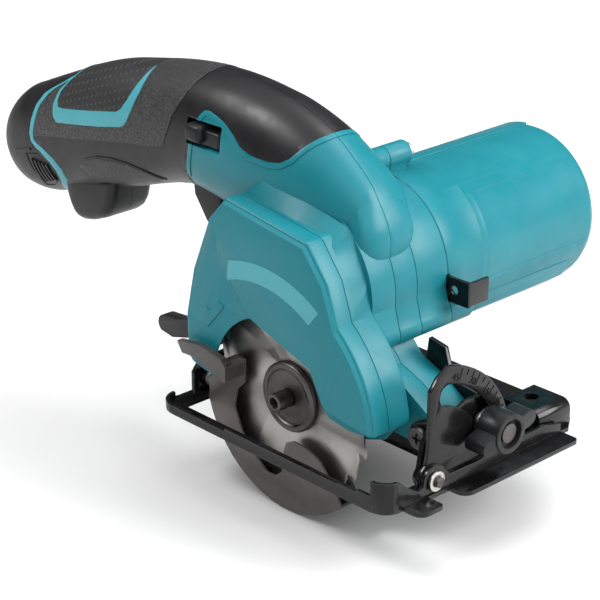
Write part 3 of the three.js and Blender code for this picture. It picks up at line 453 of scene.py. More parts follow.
def within(obj, *others):
    return combine(obj, "INTERSECT", *others)


def copy(obj, name):
    made = obj.copy()
    made.data = obj.data.copy()
    made.name = name
    bpy.context.scene.collection.objects.link(made)
    return made


def rounded(obj, width, segments=3, angle=38):
    """Rounds the edges that turn by more than the angle, in degrees."""
    modifier = obj.modifiers.new("rounded", "BEVEL")
    modifier.width = width * MM
    modifier.segments = segments
    modifier.limit_method = "ANGLE"
    modifier.angle_limit = math.radians(angle)
    modifier.harden_normals = False
    return applied(obj)


def dress(obj, look, body, *nodes, angle=32):
    """Smooths, paints and places a finished piece, in the place of CAD nodes where it has any."""
    obj.data.polygons.foreach_set("use_smooth", [True] * len(obj.data.polygons))
    obj.data.set_sharp_from_angle(angle=math.radians(angle))
    obj.data.materials.clear()
    obj.data.materials.append(LOOKS[look])
    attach(obj, body)
    if nodes:
        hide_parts(*nodes)


# ---------------------------------------------------------------- grip and battery cap


def grip_point(along, up):
    """A point in the battery's own plane: along its axis from the handle's mouth, and across."""
    c, s = math.cos(GRIP_SLOPE), math.sin(GRIP_SLOPE)
    return (GRIP_MOUTH[0] + along * c - up * s, GRIP_MOUTH[1] + along * s + up * c)


def cap_station(along, low, high, half):
    """A station of the cap, square to the battery's axis."""
    return (grip_point(along, high), grip_point(along, low), half, 0)


# Stations from the battery's end to the nose: crown, belly, half width, extra to the left.
GRIP_STATIONS = [
    cap_station(-29.9, -4, 2.5, 4.5),
    cap_station(-29.1, -9, 7.5, 8.8),
    cap_station(-26.9, -14, 13, 12.4),
    cap_station(-22.5, -19.2, 18, 15.2),
    cap_station(-16, -22.4, 21.6, 16.8),
    cap_station(-8, -24.4, 24, 17.7),
    ((-177.3, 102.1), (-160.5, 55.6), 18.2, 0),
    ((-160, 109.3), (-143, 60.5), 19, 0),
    ((-141, 116.8), (-127, 65.5), 19.8, 0),
    ((-122, 123.0), (-111, 70.5), 20, 0),
    ((-102, 127.2), (-96, 75.5), 19.8, 0),
    ((-82, 130.7), (-82, 79.5), 19.5, 0),
    ((-65, 132.3), (-71, 81), 19.5, 0),
    ((-49, 132.4), (-60, 80), 20, 0),
    ((-33, 130.8), (-50, 78), 20, 1),
    ((-18, 127.9), (-38, 74), 20, 2.5),
    ((0, 120.9), (-22, 70), 19, 5),
    ((13.5, 111.5), (-6, 68), 16.8, 8),
    ((22.0, 103.6), (7, 70), 13.2, 10.5),
    ((26.4, 95.5), (17, 75), 9.4, 9.5),
    ((28.0, 88), (22, 78), 7.0, 8),
]
SPAN_STEPS = 6  # rings from one station to the next
RING_POINTS = 72
GRIP_ROUNDNESS = 2.12  # exponent of a superellipse; 2 is an ellipse


def superellipse(roundness):
    """Points of a ring one unit wide to each side, as (cosine side, sine side)."""
    power = 2 / roundness
    ring = []
    for i in range(RING_POINTS):
        t = 2 * math.pi * (i + 0.5) / RING_POINTS
        c, s = math.cos(t), math.sin(t)
        ring.append((math.copysign(abs(c) ** power, c), math.copysign(abs(s) ** power, s)))
    return ring


def between(t, a, b, c, d):
    """Catmull-Rom value a share t of the way from b to c."""
    return 0.5 * (
        2 * b
        + (c - a) * t
        + (2 * a - 5 * b + 4 * c - d) * t * t
        + (3 * b - a - 3 * c + d) * t**3
    )


def spline(stations):
    """The stations as flat rows of numbers, with smooth steps between them."""
    rows = [[*crown, *belly, half, left] for crown, belly, half, left in stations]
    rows = [rows[0], *rows, rows[-1]]
    result = []
    for four in zip(rows, rows[1:], rows[2:], rows[3:]):
        for i in range(SPAN_STEPS):
            result.append([between(i / SPAN_STEPS, *numbers) for numbers in zip(*four)])
    result.append(rows[-1])
    return result


def grip_form(name, grow=0.0):
    """The whole rounded body from the battery's end to the nose, offset outwards by grow."""
    rings = []
    for cx, cz, bx, bz, half, left in spline(GRIP_STATIONS):
        mx, mz = (cx + bx) / 2, (cz + bz) / 2
        reach = math.hypot(cx - bx, cz - bz) / 2
        ux, uz = (cx - bx) / 2 * (1 + grow / reach), (cz - bz) / 2 * (1 + grow / reach)
        ring = []
        for side, up in superellipse(GRIP_ROUNDNESS):
            reach_y = half + grow + (left if side > 0 else 0)
            ring.append((mx + ux * up, HANDLE_Y + reach_y * side, mz + uz * up))
        rings.append(ring)
    return skin(name, rings)


# Outline of the split between battery cap and handle, from above the crown to below the belly.
MOUTH = [
    (-144, 124), (-147.5, 112.5), (-153.5, 108.4), (-160, 104.6), (-164.3, 101.6), (-167.6, 96),
    (-169, 89), (-169.4, 83.5), (-168.2, 80), (-165, 78), (-162, 76.8), (-156.2, 73), (-153.8, 69),
    (-154.2, 64.5), (-158, 59.2), (-161, 52), (-163, 44),
]
# Front edge of the teal line along that split.
RIM_FRONT = [
    (-141, 124), (-144.5, 113), (-150.9, 109), (-157, 105.2), (-160.2, 102.6), (-164.4, 96.4),
    (-165.8, 89.6), (-166.5, 84), (-166.1, 81.4), (-164, 80), (-159.8, 78.9), (-153, 75.5),
    (-149.2, 71.2), (-149.2, 66.2), (-154.5, 60.2), (-157.5, 52), (-159, 44),
]
# Boundary of the black overmould against the teal head, from the crown down to the belly.
HEAD_EDGE = [
    (9, 128), (3.4, 123), (1, 120.6), (-1.1, 118.8), (-4.2, 115.3), (-6.9, 111.9), (-10.7, 109.6),
    (-16.1, 108.8), (-25.5, 109.4), (-31.2, 111.4), (-35.6, 114.9), (-40.1, 117.7), (-44.2, 119.3),
    (-50.4, 120.9), (-53.5, 120.6), (-55.6, 118.4), (-57.8, 115.0), (-59.6, 109.6), (-62.3, 100.4),
    (-66.2, 91), (-67.4, 84), (-65, 76), (-60, 68),
]


def shifted(points, dx):
    return [(x + dx, z) for x, z in points]


def beside(points, by):
    """A line of points moved sideways by a distance, to its left as it runs."""
    result = []
    for i, (x, z) in enumerate(points):
        x0, z0 = points[max(i - 1, 0)]
        x1, z1 = points[min(i + 1, len(points) - 1)]
        length = math.hypot(x1 - x0, z1 - z0)
        result.append((x - (z1 - z0) / length * by, z + (x1 - x0) / length * by))
    return result


def region(outline):
    """Everything inside a side outline, wider than the handle."""
    return prism("region", outline, -20, 70)


def half_space(side, gap):
    """Everything on one side of the handle's seam, short of it by the gap."""
    ys = (-60, HANDLE_Y - gap) if side < 0 else (HANDLE_Y + gap, 90)
    return box("half", (-230, 120), ys, (-60, 200))


# Front edge and lower edge of the stippled cover.
STIPPLE_EDGE = [
    (-58, 200), (-58.5, 140), (-61.9, 133), (-64.5, 128.7), (-67.1, 122.8), (-71.6, 114.1), (-74, 107.9),
]
STIPPLE_LOW = [
    (-77.8, 99.8), (-89.2, 97.6), (-102.6, 95.8), (-116.6, 93.1), (-131.3, 90.2), (-147.2, 87.1),
    (-165.9, 83),
]
# Outer and inner edge of the teal inlay round the dotted pad.
INLAY_OUT = [
    (-143.5, 120), (-146.4, 113.2), (-149, 110), (-152.5, 105.6), (-153.3, 100), (-151.6, 95.4),
    (-148.5, 93.4), (-137.8, 95.3), (-120, 98.6), (-103.9, 102.1), (-101.4, 103.3), (-99.6, 105.3),
    (-96.9, 111.4), (-94.5, 118.6), (-94.2, 124), (-94.8, 127.4),
]
INLAY_IN = [
    (-143.1, 120), (-145.8, 113.2), (-148, 110), (-150.6, 105.5), (-150.4, 101.9), (-148.9, 99.8),
    (-145, 100.1), (-125, 104), (-106.5, 107.9), (-103.8, 109.8), (-100.9, 114.2), (-98.5, 119.4),
    (-96, 125), (-95.2, 127.4),
]
# The leaf-shaped pad for the fingertips.
LEAF = [
    (-134.9, 77.1), (-130.6, 81.2), (-122.6, 84.6), (-112.6, 86.3), (-102.1, 86.2), (-93.5, 84.4),
    (-86, 81.6), (-90, 79), (-101.3, 76.5), (-117.9, 70.5), (-127.3, 70.9), (-132.2, 73.1),
]
TRIGGER_GAP = ((-79, -52), (HANDLE_Y - 8.4, HANDLE_Y + 8.4), (60, 100))
LOCK_OFF_GAP = ((-62.2, -42.2), (-6, 13.2), (105.6, 116.2))


def shrunk(outline, by):
    """An outline drawn in towards its middle, for a border of even width."""
    cx = sum(x for x, _ in outline) / len(outline)
    cz = sum(z for _, z in outline) / len(outline)
    result = []
    for x, z in outline:
        reach = math.hypot(x - cx, z - cz)
        result.append((x + (cx - x) * by / reach, z + (cz - z) * by / reach))
    return result


def grip_foot():
    """The foot under the handle's rear end."""
    outline = [
        (-156, 61), (-152.6, 53.6), (-149.8, 49.8), (-147, 48.3), (-143, 48.1), (-137, 49.5),
        (-129.5, 52.6), (-125.7, 55.4), (-123.4, 59), (-122.2, 63), (-120, 74), (-150, 68),
    ]
    return rounded(prism("foot", outline, HANDLE_Y - 12, HANDLE_Y + 12), 4.2, 5)


NOSE_Y = 22
NOSE_ROUNDNESS = 2.5
NOSE_REACH = 6.8  # half its length along X
# Upright rounded nose of the head: height, front, half width to the right and to the left.
NOSE_RINGS = [
    (76.2, 28.8, 9.8, 11.0), (77.0, 30.6, 12.0, 13.6), (79, 31.2, 12.9, 15.2), (84.9, 31.4, 13.2, 16.2),
    (91, 29.8, 12.6, 15.6), (96.9, 26.6, 9.8, 13), (100.5, 23.8, 6.6, 10), (103.2, 21.4, 3.4, 6),
    (105, 19.6, 1, 2),
]


def nose():
    rings = []
    for z, front, right, left in NOSE_RINGS:
        ring = []
        for ahead, aside in superellipse(NOSE_ROUNDNESS):
            reach = left if aside > 0 else right
            ring.append((front - NOSE_REACH * (1 - ahead), NOSE_Y + reach * aside, z))
        rings.append(ring)
    return skin("nose", rings)


def stick_form(name, inset, rear, front, half_height, half_width):
    """The grip's form drawn in and cut square, round the battery's axis."""
    corners = ((rear, -half_height), (front, -half_height), (front, half_height), (rear, half_height))
    outline = [grip_point(*corner) for corner in corners]
    block = prism("block", outline, HANDLE_Y - half_width, HANDLE_Y + half_width)
    return within(grip_form(name, -inset), block)


def battery_bay():
    """The hollow in the handle that the battery's stick slides in."""
    return stick_form("bay", 3.1, -24, 57, 18.6, 16)


def grip_pieces():
    """Cores and covers of the two handle halves, each raised a little over the one below it."""
    mouth_side = [*MOUTH, (120, 44), (120, 200), (-144, 200)]
    core = join(within(grip_form("core"), region(mouth_side)), nose())
    behind_head = [*RIM_FRONT, (-60, 40), *HEAD_EDGE[::-1], (9, 200), (-141, 200)]
    cover = within(grip_form("cover", 0.15), region(behind_head))
    foot_side = [*RIM_FRONT[-6:], (-60, 40), (-60, 90), (-150, 90)]
    join(cover, within(grip_foot(), region(foot_side)))
    line_zone = [*MOUTH, *shifted(RIM_FRONT[::-1], -0.2)]
    line = within(grip_form("line", 0.3), region(line_zone))
    stipple_zone = [*shifted(RIM_FRONT[:8], 0.3), *STIPPLE_LOW[::-1], *STIPPLE_EDGE[::-1], (-141, 200)]
    stipple = within(grip_form("stipple", 0.38), region(stipple_zone))
    inlay_zone = [*INLAY_OUT, *INLAY_IN[::-1]]
    pad_zone = [*INLAY_IN, (-90.5, 136), (-90, 200), (-141, 200)]
    cut(stipple, region(inlay_zone), region(pad_zone))
    inlay = within(grip_form("inlay", 0.45), region(inlay_zone))
    pad = within(grip_form("pad", 0.32), region(pad_zone))
    leaf = within(grip_form("leaf", 0.5), region(LEAF))
    leaf_dots = within(grip_form("leaf_dots", 0.62), region(shrunk(LEAF, 1.5)))
    rim_line = HEAD_EDGE[1:20]
    rim = within(grip_form("rim", 0.34), region([*beside(rim_line, 0.2), *beside(rim_line, 2.3)[::-1]]))
    for piece in (core, cover, rim):
        cut(piece, box("trigger_gap", *TRIGGER_GAP))
        cut(piece, box("lock_off_gap", *LOCK_OFF_GAP))
    # Each with its name, its look and its distance from the handle's seam.
    parts = [
        (core, "housing_grip", "teal", 0.10),
        (cover, "grip_cover", "neck", 0.08),
        (line, "grip_rim", "teal_band", 0.05),
        (rim, "head_rim", "teal", 0.05),
        (stipple, "grip_stipple", "stipple", 0.09),
        (inlay, "grip_inlay", "teal_band", 0.05),
        (pad, "grip_pad", "dots", 0.08),
        (leaf, "grip_leaf", "neck", 0.08),
        (leaf_dots, "grip_leaf_dots", "dots", 0.08),
    ]
    for whole, name, look, gap in parts:
        cut(whole, battery_bay())
        for side, word in ((-1, "right"), (1, "left")):
            half = within(copy(whole, f"{name}_{word}"), half_space(side, gap))
            dress(rounded(half, 0.22, 2, 50), look, "saw", f"{word}_housing")
        bpy.data.meshes.remove(whole.data)


grip_pieces()

# ---------------------------------------------------------------- blade case and gear section


def case_outline(inset, bottom):
    """Side outline of the blade case, drawn in by inset, from the rear round the top to the front."""
    i = inset
    return [
        (-48 + i, 19), (-50.5 + i, 22), (-51 + i, 40), (-46.4 + i, 60), (-36.4 + i, 84 - i * 0.4),
        (-26.5 + i * 0.6, 95 - i), (18.5 - i * 0.6, 88.8 - i), (29.2 - i, 75.2 - i * 0.4),
        *arc(SPINDLE, 55 - i, 51, 5, 20), *bottom,
    ]


# Where the pieces of the body begin and end along Y.
COVER_FACE_Y = -10.4
COVER_END_Y = -2.5
CASE_START_Y = -2.15
GEARS_START_Y = 8.5
RIGHT_END_Y = 20.85
LEFT_START_Y = 21.15
LEFT_END_Y = 32.7
BRACKET_START_Y = 33
BRACKET_END_Y = 49.7
COLLAR_START_Y = 50

GUARD_ROOM = 49.6  # radius of the room that the guard turns in
FAN_ROOM = 32.3  # radius of the room for the fan and the motor's front
IDLER_CASE = 28.4  # radius of the round case of the idler gear
FINE_SIDES = 96
# How the case outline closes below: the cover, the inner case, and a hollow that is open downwards.
COVER_BOTTOM = [(44, 19.8), (-36, 16.5)]
CASE_BOTTOM = [(50, 19.5), (43, 11), (20, 3), (-20, 3), (-40, 12)]
OPEN_BOTTOM = [(50, -20), (-46, -20)]
# The raised flat of the cover: its own outline, and the outline where its sloping sides end.
RAISED_FACE = [
    (-34.4, 83.6), (-25.9, 93.0), (17.8, 87.0), (28.0, 74.6), *arc(SPINDLE, 53.4, 50, 6, 20),
    (31.8, 25), (28.9, 26.6), (21.7, 39.6), (-12.2, 50.2), (-23.8, 63.5), (-24, 71.7),
]
RAISED_FOOT = [
    (-37.2, 81.7), (-26.3, 94.4), (18.3, 88.3), (28.9, 75.1), *arc(SPINDLE, 54.7, 50.5, 5, 20),
    (31.2, 24.4), (28.3, 25.6), (21.1, 38.4), (-14.4, 48.9), (-29, 62.4), (-36.2, 69.1),
]
# The opening of the cover round the flange, and the marks on its face.
WINDOW = [
    (-36, 10), (-34.4, 19), *arc(SPINDLE, 34.5, 176, 111, 24), (21.2, 38.3), (28.3, 24.4), (30.8, 22),
    (48, 19), (48, 10),
]
FACE_BAND = [*arc((-5, 17), 56.5, 109, 56, 20), *arc((-6, 17), 48.7, 56, 112, 20)]
FACE_ARROW = [(-38.9, 46.2), (-37.7, 37.6), (-27.9, 49.1), (-30.9, 50.6), (-36.5, 45.2)]
GROOVE = [(-12.8, 47.6), (20.9, 36.6), (20.6, 35.8), (-13.1, 46.8)]


def case_cover():
    cover = rounded(prism("blade_case_cover", case_outline(0, COVER_BOTTOM), COVER_FACE_Y, 2), 1.2, 5)
    cut(cover, box("beyond_seam", (-60, 70), (COVER_END_Y, 4), (-10, 110)))
    join(cover, skin("face", [side_ring(RAISED_FACE, -12.05), side_ring(RAISED_FOOT, -9.4)]))
    cut(cover, prism("hollow", case_outline(2.2, OPEN_BOTTOM), -9.8, 0))
    cut(cover, rod("guard_room", SPINDLE, GUARD_ROOM, -9.8, 0, FINE_SIDES))
    cut(cover, prism("window", WINDOW, -14, -8))
    join(cover, rounded(prism("arrow", FACE_ARROW, -10.9, -9.2), 0.2, 2))
    cut(cover, prism("groove", GROOVE, -13, -11.75))
    dress(rounded(cover, 0.3, 3, 50), "teal", "saw", "blade_case_cover", angle=20)
    band = prism("face_band", FACE_BAND, -12.09, -11.9)
    dress(band, "teal_band", "saw", "blade_case_cover")


def motor_section(name, low, high, radius=MOTOR_RADIUS):
    """A slice of the round motor body with its two screw bosses."""
    shoulder = [(10, 50), (20, 34.5), (30, 42.9), (37.5, 48), (33, 64)]
    return join(
        rod(name, MOTOR, radius, low, high, MOTOR_SIDES),
        rod("low", LOWER_SCREW, 5.5, low, high),
        rod("top", UPPER_SCREW, 5, low, high),
        box("web", (-6.6, 2.6), (low, high), (90, 102)),
        prism("shoulder", shoulder, low, high),
    )


def pivot_arm(low, high):
    """The arm that carries the saw on the depth pivot."""
    web = [(64.6, 19.9), (62, 25), (49, 32.8), (38, 37.2), (30, 46), (22, 30), (40, 13), (58, 12)]
    arm = join(prism("arm", web, low, high), rod("boss", PIVOT, 5.7, low, high))
    return cut(arm, rod("bore", PIVOT, 2.8, low - 1, high + 1))


# Where the slope on top of the inner case ends at the head, from the rear over the top and down
# the front: x, y and height.
LEDGE = [
    (-25.4, -1.2, 95.2), (-21, 0.4, 98.8), (-18, 1.4, 100.8), (-8, 2.4, 99.4), (2, 3.8, 97.5),
    (13, 6.2, 94.3), (21, 8.4, 91), (24, 9.4, 88), (26.4, 10.4, 83.6), (28.6, 10.8, 79.4),
    (30.6, 10.4, 74.8), (32.4, 7, 69.2), (33.8, 1.5, 63.6),
]
# The case outline below it, as lines through a point with a fall towards the front.
LEDGE_FALLS = [(-26.5, 95, 0.138), (18.5, 88.8, 1.27), (29.2, 75.2, 2.87)]


def case_ledge():
    """The sloped shoulder that leads from the case up to the head."""
    near, far = -1.3, 16
    rings = []
    for x, y, z in LEDGE:
        base = min(height - (x - start) * fall for start, height, fall in LEDGE_FALLS) - 0.9
        back, low = z - 1.3, base - 9
        section = [(near, base), (y, z), (y + 1.1, back), (far, back), (far, low), (near, low)]
        rings.append([(x, across, height) for across, height in section])
    return skin("ledge", rings)


def right_gear_housing():
    """The inner half of the blade case and the gear section, in one moulding."""
    case = rounded(prism("housing_case", case_outline(0, CASE_BOTTOM), -6, 9.5), 1.5, 5)
    cut(case, box("beyond_seam", (-60, 70), (-8, CASE_START_Y), (-10, 110)))
    cut(case, prism("hollow", case_outline(2.2, OPEN_BOTTOM), -4, 7.3))
    cut(case, rod("guard_room", SPINDLE, GUARD_ROOM, -4, 7.3, FINE_SIDES))
    join(
        case,
        rounded(motor_section("gears", GEARS_START_Y, RIGHT_END_Y), 2.0, 4),
        rod("idler", IDLER, IDLER_CASE, GEARS_START_Y, RIGHT_END_Y, FINE_SIDES),
        rounded(pivot_arm(12.3, RIGHT_END_Y), 0.8),
    )
    join(
        case,
        rod("spindle_boss", SPINDLE, 15.3, 5.2, 17, FINE_SIDES),
        rod("bolt_boss", (-47, 30), 5.5, 5.9, 10),
    )
    cut(
        case,
        rod("bearing_bore", SPINDLE, 10.4, 4, 13),
        rod("idler_gap", IDLER, 26.6, 15.5, 22, FINE_SIDES),
    )
    cut(
        case,
        rod("drive_gap", SPINDLE, 13.9, 12, 15.7),
        rod("pinion_gap", MOTOR, 8, 13.4, 22),
    )
    join(case, case_ledge())
    dress(rounded(case, 0.3, 3, 50), "teal", "saw", "right_housing", angle=20)


def left_gear_housing():
    left = rounded(motor_section("housing_gears_left", LEFT_START_Y, LEFT_END_Y), 0.4, 3)
    join(
        left,
        rod("idler", IDLER, IDLER_CASE, LEFT_START_Y, 24, FINE_SIDES),
        rounded(pivot_arm(LEFT_START_Y, LEFT_END_Y), 0.8),
    )
    cut(
        left,
        rod("fan_gap", MOTOR, FAN_ROOM, 26, 34, FINE_SIDES),
        rod("shaft_gap", MOTOR, 7, 20, 30),
    )
    dress(rounded(left, 0.3, 2, 50), "teal", "saw", "left_housing")


# Room for the bent hook in the seam between motor bracket and motor housing.
HOOK_GAP = ((30, 50), (49, 51.2), (53.2, 64.4))


def motor_bracket():
    bracket = rounded(motor_section("motor_bracket", BRACKET_START_Y, BRACKET_END_Y), 0.4, 3)
    cut(bracket, rod("bore", MOTOR, FAN_ROOM, 32, 51, FINE_SIDES), box("hook_gap", *HOOK_GAP))
    dress(bracket, "teal", "saw", "motor_bracket")


def motor_housing():
    """The motor's cup: a collar at the seam, a slightly slimmer barrel and a rounded end."""
    start, end, barrel = COLLAR_START_Y, MOTOR_END_Y, MOTOR_RADIUS - 0.45
    profile = [
        (0.5, start), (MOTOR_RADIUS - 0.4, start), (MOTOR_RADIUS, 50.4), (MOTOR_RADIUS, 59),
        (barrel, 59.8), (barrel, end - 7.5), (barrel - 0.45, end - 5), (barrel - 1.3, end - 3.1),
        (barrel - 2.6, end - 1.6), (barrel - 4.4, end - 0.5), (barrel - 7, end), (0.5, end),
    ]
    top_strip = [*arc(MOTOR, 34.75, 94.5, 112, 12), *arc(MOTOR, 30, 112, 94.5, 12)]
    low_strip = [(30.9, 47.9), (28.3, 40.6), (20, 34.6), (20, 45)]
    housing = join(
        turned("motor_housing", MOTOR, profile, MOTOR_SIDES),
        rounded(motor_section("mouth", start, 59.2, MOTOR_RADIUS - 1.5), 0.5, 3),
        rounded(rod("boss", UPPER_SCREW, 5, start, 62.2), 0.6),
        rounded(rod("boss", LOWER_SCREW, 5.5, start, 62.2), 0.6),
        rounded(prism("rib", top_strip, start, end - 5.4), 0.3, 3),
        rounded(prism("rib", low_strip, start, 128), 0.7, 3),
    )
    # The two steps of the label's recess: depth, first and last angle, and where it begins.
    for depth, low, high, recess_start in ((0.12, -15, 57, 71.5), (0.26, -12, 49, 75)):
        recess = [*arc(MOTOR, barrel - depth, low, high, 40), *arc(MOTOR, 40, high, low, 40)]
        cut(housing, rounded(prism("label_recess", recess, recess_start, end - 5), 0.2, 2))
    cut(housing, rod("hollow", MOTOR, 31.3, 49, end - 3.2, FINE_SIDES))
    cut(housing, rod("seat", LOWER_SCREW, 3.8, 61, 72), box("hook_gap", *HOOK_GAP))
    dress(rounded(housing, 0.25, 2, 50), "teal", "saw", "motor_housing")


def motor_screw(name, place):
    """A cross-head screw."""
    x, z = place
    head = rounded(rod(name, place, 3.4, 62.3, 65), 0.5)
    for half_x, half_z in ((2.6, 0.5), (0.5, 2.6)):
        cut(head, box("slot", (x - half_x, x + half_x), (64, 66), (z - half_z, z + half_z)))
    dress(join(head, rod("shank", place, 1.9, 24, 63)), "zinc", "saw", name)


case_cover()
right_gear_housing()
left_gear_housing()
motor_bracket()
motor_housing()
motor_screw("motor_screw_upper", UPPER_SCREW)
motor_screw("motor_screw_lower", LOWER_SCREW)

# ---------------------------------------------------------------- battery


# In the battery's own plane, along it and across it: the outline of the release buttons, the point
# that their pockets grow away from, and the raised line behind and above them.
BUTTON = [(-6, -4.2), (2.4, -5.2), (6.9, -10.2), (8, -14.5), (6.6, -18), (0, -20.2), (-6, -19.6)]
BUTTON_CENTRE = (0.5, -12.5)
BUTTON_LINE = [(-14.8, -2.4), (-1.4, -3.1), (-1.4, -2.1), (-14.8, -1.4)]
BUTTON_RIBS = 5
RIB_WIDTH = 1.1


def cap_block(outline, side, inner=10):
    """An outline in the battery's own plane, on one side of it from inner outwards."""
    ys = sorted((HANDLE_Y + side * inner, HANDLE_Y + side * 30))
    return prism("block", [grip_point(*point) for point in outline], *ys)


def button_pocket(side):
    """The room for a release button, 0.4 mm larger than the button all round."""
    outline = [
        tuple(number + math.copysign(0.4, number - middle) for number, middle in zip(point, BUTTON_CENTRE))
        for point in BUTTON
    ]
    return cap_block(outline, side, 7.6)


def battery_case():
    beyond_mouth = [*shifted(MOUTH, -0.5), (-260, 44), (-260, 112)]
    case = within(grip_form("battery_case"), region(beyond_mouth))
    join(case, stick_form("stick", 3.6, -3, 54, 18, 15.2))
    for side in (-1, 1):
        cut(case, button_pocket(side))
        join(case, within(grip_form("line", 0.55), cap_block(BUTTON_LINE, side)))
    dress(rounded(case, 0.3, 3, 50), "black", "battery", "battery_case")


def release_button(side, word):
    """A release button with slanted ribs."""
    button = within(grip_form(f"release_button_{word}", -0.2), cap_block(BUTTON, side))
    for i in range(BUTTON_RIBS):
        top, top_up = -3.4 + 2.3 * i, -6.6 - 1.0 * i
        foot, foot_up = -5.0 + 2.5 * i, -18.4
        rib = [(top, top_up), (foot, foot_up), (foot + RIB_WIDTH, foot_up), (top + RIB_WIDTH, top_up)]
        join(button, within(grip_form("rib", 0.75), cap_block(rib, side)))
    dress(rounded(button, 0.25, 2, 45), "black", f"release_{word}", f"release_button_{word}")


battery_case()
release_button(-1, "right")
release_button(1, "left")

# ---------------------------------------------------------------- controls


def controls():
    outline = [
        (-74, 86), (-73, 78), (-66, 68.5), (-60, 64), (-56, 65), (-57, 72), (-56, 80), (-55, 90),
        (-72, 90),
    ]
    trigger = prism("trigger", outline, HANDLE_Y - 7.5, HANDLE_Y + 7.5)
    dress(rounded(trigger, 1.6, 4), "black", "trigger", "trigger")
    button = rounded(box("lock_off_button", (-61, -43.4), (1.6, 9), (106.4, 113)), 1.2, 4)
    pad = rounded(box("pad", (-61, -51.5), (-1.7, 8.6), (107.4, 115)), 2.4, 5)
    dress(join(button, pad), "black", "lock_off", "lock_off_button")


controls()

# ---------------------------------------------------------------- steel and the rest


def refined(node, look, body, width):
    """A CAD node's own shape: corners welded, flat neighbours merged, edges rounded."""
    obj = placed(f"{node}_fine", frame["nodes"][node].data.copy())
    work = bmesh.new()
    work.from_mesh(obj.data)
    bmesh.ops.remove_doubles(work, verts=work.verts, dist=2e-6)
    bmesh.ops.dissolve_limit(
        work,
        angle_limit=math.radians(0.6),
        verts=work.verts,
        edges=work.edges,
        use_dissolve_boundaries=False,
    )
    for layer in list(work.loops.layers.uv.values()):
        work.loops.layers.uv.remove(layer)
    work.to_mesh(obj.data)
    work.free()
    # The CAD's own normals would hide the rounding.
    normals = obj.data.attributes.get("custom_normal")
    if normals:
        obj.data.attributes.remove(normals)
    rounded(obj, width, 2, 32)
    dress(obj, look, body, node)


BODIES = frame["record"]["behaviour"]["bodies"]
BODY_OF = {node: body for body, nodes in BODIES.items() for node in nodes}
# The CAD nodes whose own shape is kept, with their look and the rounding of their edges.
REFINED = {
    "sole_plate": ("coat", 0.35), "bevel_quadrant": ("coat", 0.3), "fence_clamp": ("coat", 0.35),
    "front_bracket": ("coat", 0.3), "rear_bracket": ("coat", 0.3), "front_tilt_pin": ("oxide", 0.25),
    "rear_tilt_pin": ("oxide", 0.25), "front_pin_clip": ("zinc", 0.1), "rear_pin_clip": ("zinc", 0.1),
    "bevel_washer": ("oxide", 0.2), "bevel_stud": ("oxide", 0.2), "bevel_knob": ("black", 1.2),
    "depth_lever": ("black", 0.8), "depth_bolt": ("oxide", 0.3), "depth_pivot_screw": ("oxide", 0.3),
    "accessory_bracket": ("coat", 0.6), "lower_guard": ("guard", 0.3), "saw_blade": ("blade", 0.08),
    "outer_flange": ("oxide", 0.3), "inner_flange": ("oxide", 0.3), "blade_bolt": ("oxide", 0.3),
}
for node, (look, width) in REFINED.items():
    refined(node, look, BODY_OF[node], width)

# The look of the CAD nodes that show as they are, by the record's material slot.
INNER_LOOKS = {
    "teal_plastic": "teal", "black_plastic": "black", "grip_rubber": "neck", "black_steel": "coat",
    "guard_steel": "guard", "bright_steel": "bright", "dark_steel": "oxide", "zinc_steel": "zinc",
    "copper": "copper", "magnet_ferrite": "ferrite", "cell_wrap": "wrap",
}
SLOT_OF = {row["node"]: row["material_slot"] for row in frame["record"]["subparts"]}
for node, obj in frame["nodes"].items():
    if not obj.hide_render:
        obj.data.materials.clear()
        obj.data.materials.append(LOOKS[INNER_LOOKS[SLOT_OF[node]]])


# ---------------------------------------------------------------- bevel scale


SCALE_START = 24  # angle of the 0 mark round the tilt pins
SCALE_FACE_X = 71
MARK_DEPTH = (SCALE_FACE_X - 0.1, SCALE_FACE_X + 0.1)
MARK_OUTER = 43.2
MARK_INNER = 40.8
LONG_MARK_INNER = 38.4
MARK_HALF_WIDTH = 0.22
NUMBER_RADIUS = 39.4
NUMBER_OFFSET = 3.6  # degrees from a long mark to the middle of its number
NUMBER_SIZE = 4.0


def scale_marks():
    """A mark every 5 degrees on the quadrant, a longer one every 15."""
    marks = []
    for degrees in range(0, 46, 5):
        angle = math.radians(SCALE_START + degrees)
        inner = MARK_INNER if degrees % 15 else LONG_MARK_INNER
        c, s = math.cos(angle), math.sin(angle)
        outline = [
            (TILT[0] + radius * c - side * s, TILT[1] + radius * s + side * c)
            for radius, side in (
                (inner, -MARK_HALF_WIDTH),
                (MARK_OUTER, -MARK_HALF_WIDTH),
                (MARK_OUTER, MARK_HALF_WIDTH),
                (inner, MARK_HALF_WIDTH),
            )
        ]
        marks.append(skin("mark", [[(x, y, z) for y, z in outline] for x in MARK_DEPTH]))
    return join(*marks)


def degree_number(degrees):
    """The generic number beside a long mark."""
    text = bpy.data.curves.new(f"degree_{degrees}", "FONT")
    text.body = str(degrees)
    text.size = NUMBER_SIZE * MM
    text.extrude = 0.05 * MM
    text.align_x = "CENTER"
    text.align_y = "CENTER"
    obj = placed(f"degree_{degrees}", text)
    angle = math.radians(SCALE_START + NUMBER_OFFSET + degrees)
    y = TILT[0] + NUMBER_RADIUS * math.cos(angle)
    z = TILT[1] + NUMBER_RADIUS * math.sin(angle)
    facing_front = Matrix(((0, 0, 1), (1, 0, 0), (0, 1, 0))).to_4x4()
    upright = Matrix.Rotation(angle - math.pi / 2, 4, "Z")
    obj.matrix_world = Matrix.Translation(to_row(SCALE_FACE_X + 0.08, y, z)) @ facing_front @ upright
    text.materials.append(LOOKS["print"])
    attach(obj, "base")


dress(scale_marks(), "print", "base")
for degrees in (0, 15, 30, 45):
    degree_number(degrees)

# ---------------------------------------------------------------- floor, light and camera


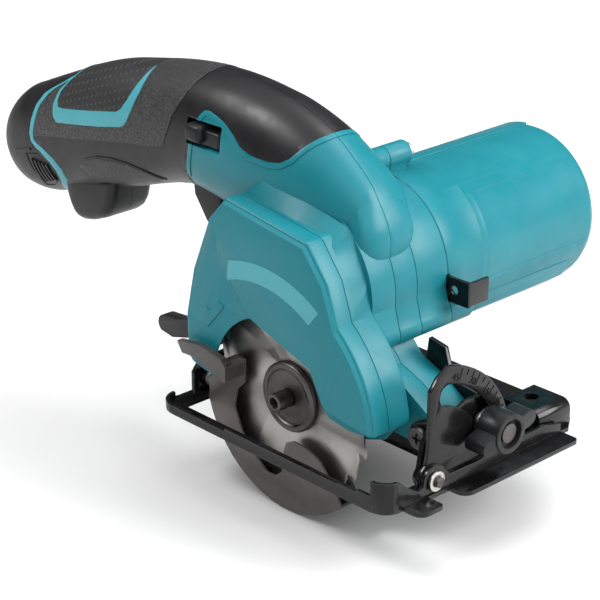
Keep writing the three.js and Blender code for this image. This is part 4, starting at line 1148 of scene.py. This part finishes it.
# From here on, places are in metres in the row frame.
FLOOR_Z = -0.031  # under the lower guard, which hangs below the sole
FLOOR_HALF = 6
MIDDLE = Vector((-0.03, 0.03, 0.05))  # what the softboxes point at


def pale_floor():
    corners = [(-1, -1), (1, -1), (1, 1), (-1, 1)]
    mesh = bpy.data.meshes.new("floor")
    mesh.from_pydata([(x * FLOOR_HALF, y * FLOOR_HALF, FLOOR_Z) for x, y in corners], [], [(0, 1, 2, 3)])
    mesh.materials.append(floor_paint())
    placed("floor", mesh)


def softbox(name, place, size, power):
    """A round area light, pointed at the saw."""
    data = bpy.data.lights.new(name, "AREA")
    data.shape = "DISK"
    data.size = size
    data.energy = power
    lamp = placed(name, data)
    lamp.location = place
    lamp.rotation_euler = (MIDDLE - Vector(place)).to_track_quat("-Z", "Y").to_euler()


def sun(name, direction, angle, strength):
    """A wide soft light from a direction, as a window or a sky gives."""
    data = bpy.data.lights.new(name, "SUN")
    data.angle = math.radians(angle)
    data.energy = strength
    placed(name, data).rotation_euler = Vector(direction).to_track_quat("Z", "Y").to_euler()


pale_floor()
sun("front_window", (0.75, -0.50, 0.40), 50, 1.1)
sun("sky", (0.05, 0.0, 1.0), 90, 2.3)
softbox("key", (1.05, 0.75, 0.75), 1.0, 32)
softbox("top", (0.15, 0.55, 1.3), 0.8, 9)
softbox("left", (-0.60, -0.66, 0.98), 0.40, 11)

world = bpy.data.worlds.new("studio")
world.use_nodes = True
world.node_tree.nodes["Background"].inputs["Color"].default_value = (1, 1, 1, 1)
world.node_tree.nodes["Background"].inputs["Strength"].default_value = 0.10
bpy.context.scene.world = world
bpy.context.scene.view_settings.view_transform = "Standard"

camera_data = bpy.data.cameras.new("camera")
camera_data.lens = 122.05
camera_data.sensor_width = 36
camera = placed("camera", camera_data)
camera.location = (0.52162, -0.53175, 0.36289)
AZIMUTH = math.radians(46.46)
ELEVATION = math.radians(23.065)
level = math.cos(ELEVATION)
back = Vector((math.sin(AZIMUTH) * level, -math.cos(AZIMUTH) * level, math.sin(ELEVATION)))
camera.rotation_euler = back.to_track_quat("Z", "Y").to_euler()
bpy.context.scene.camera = camera
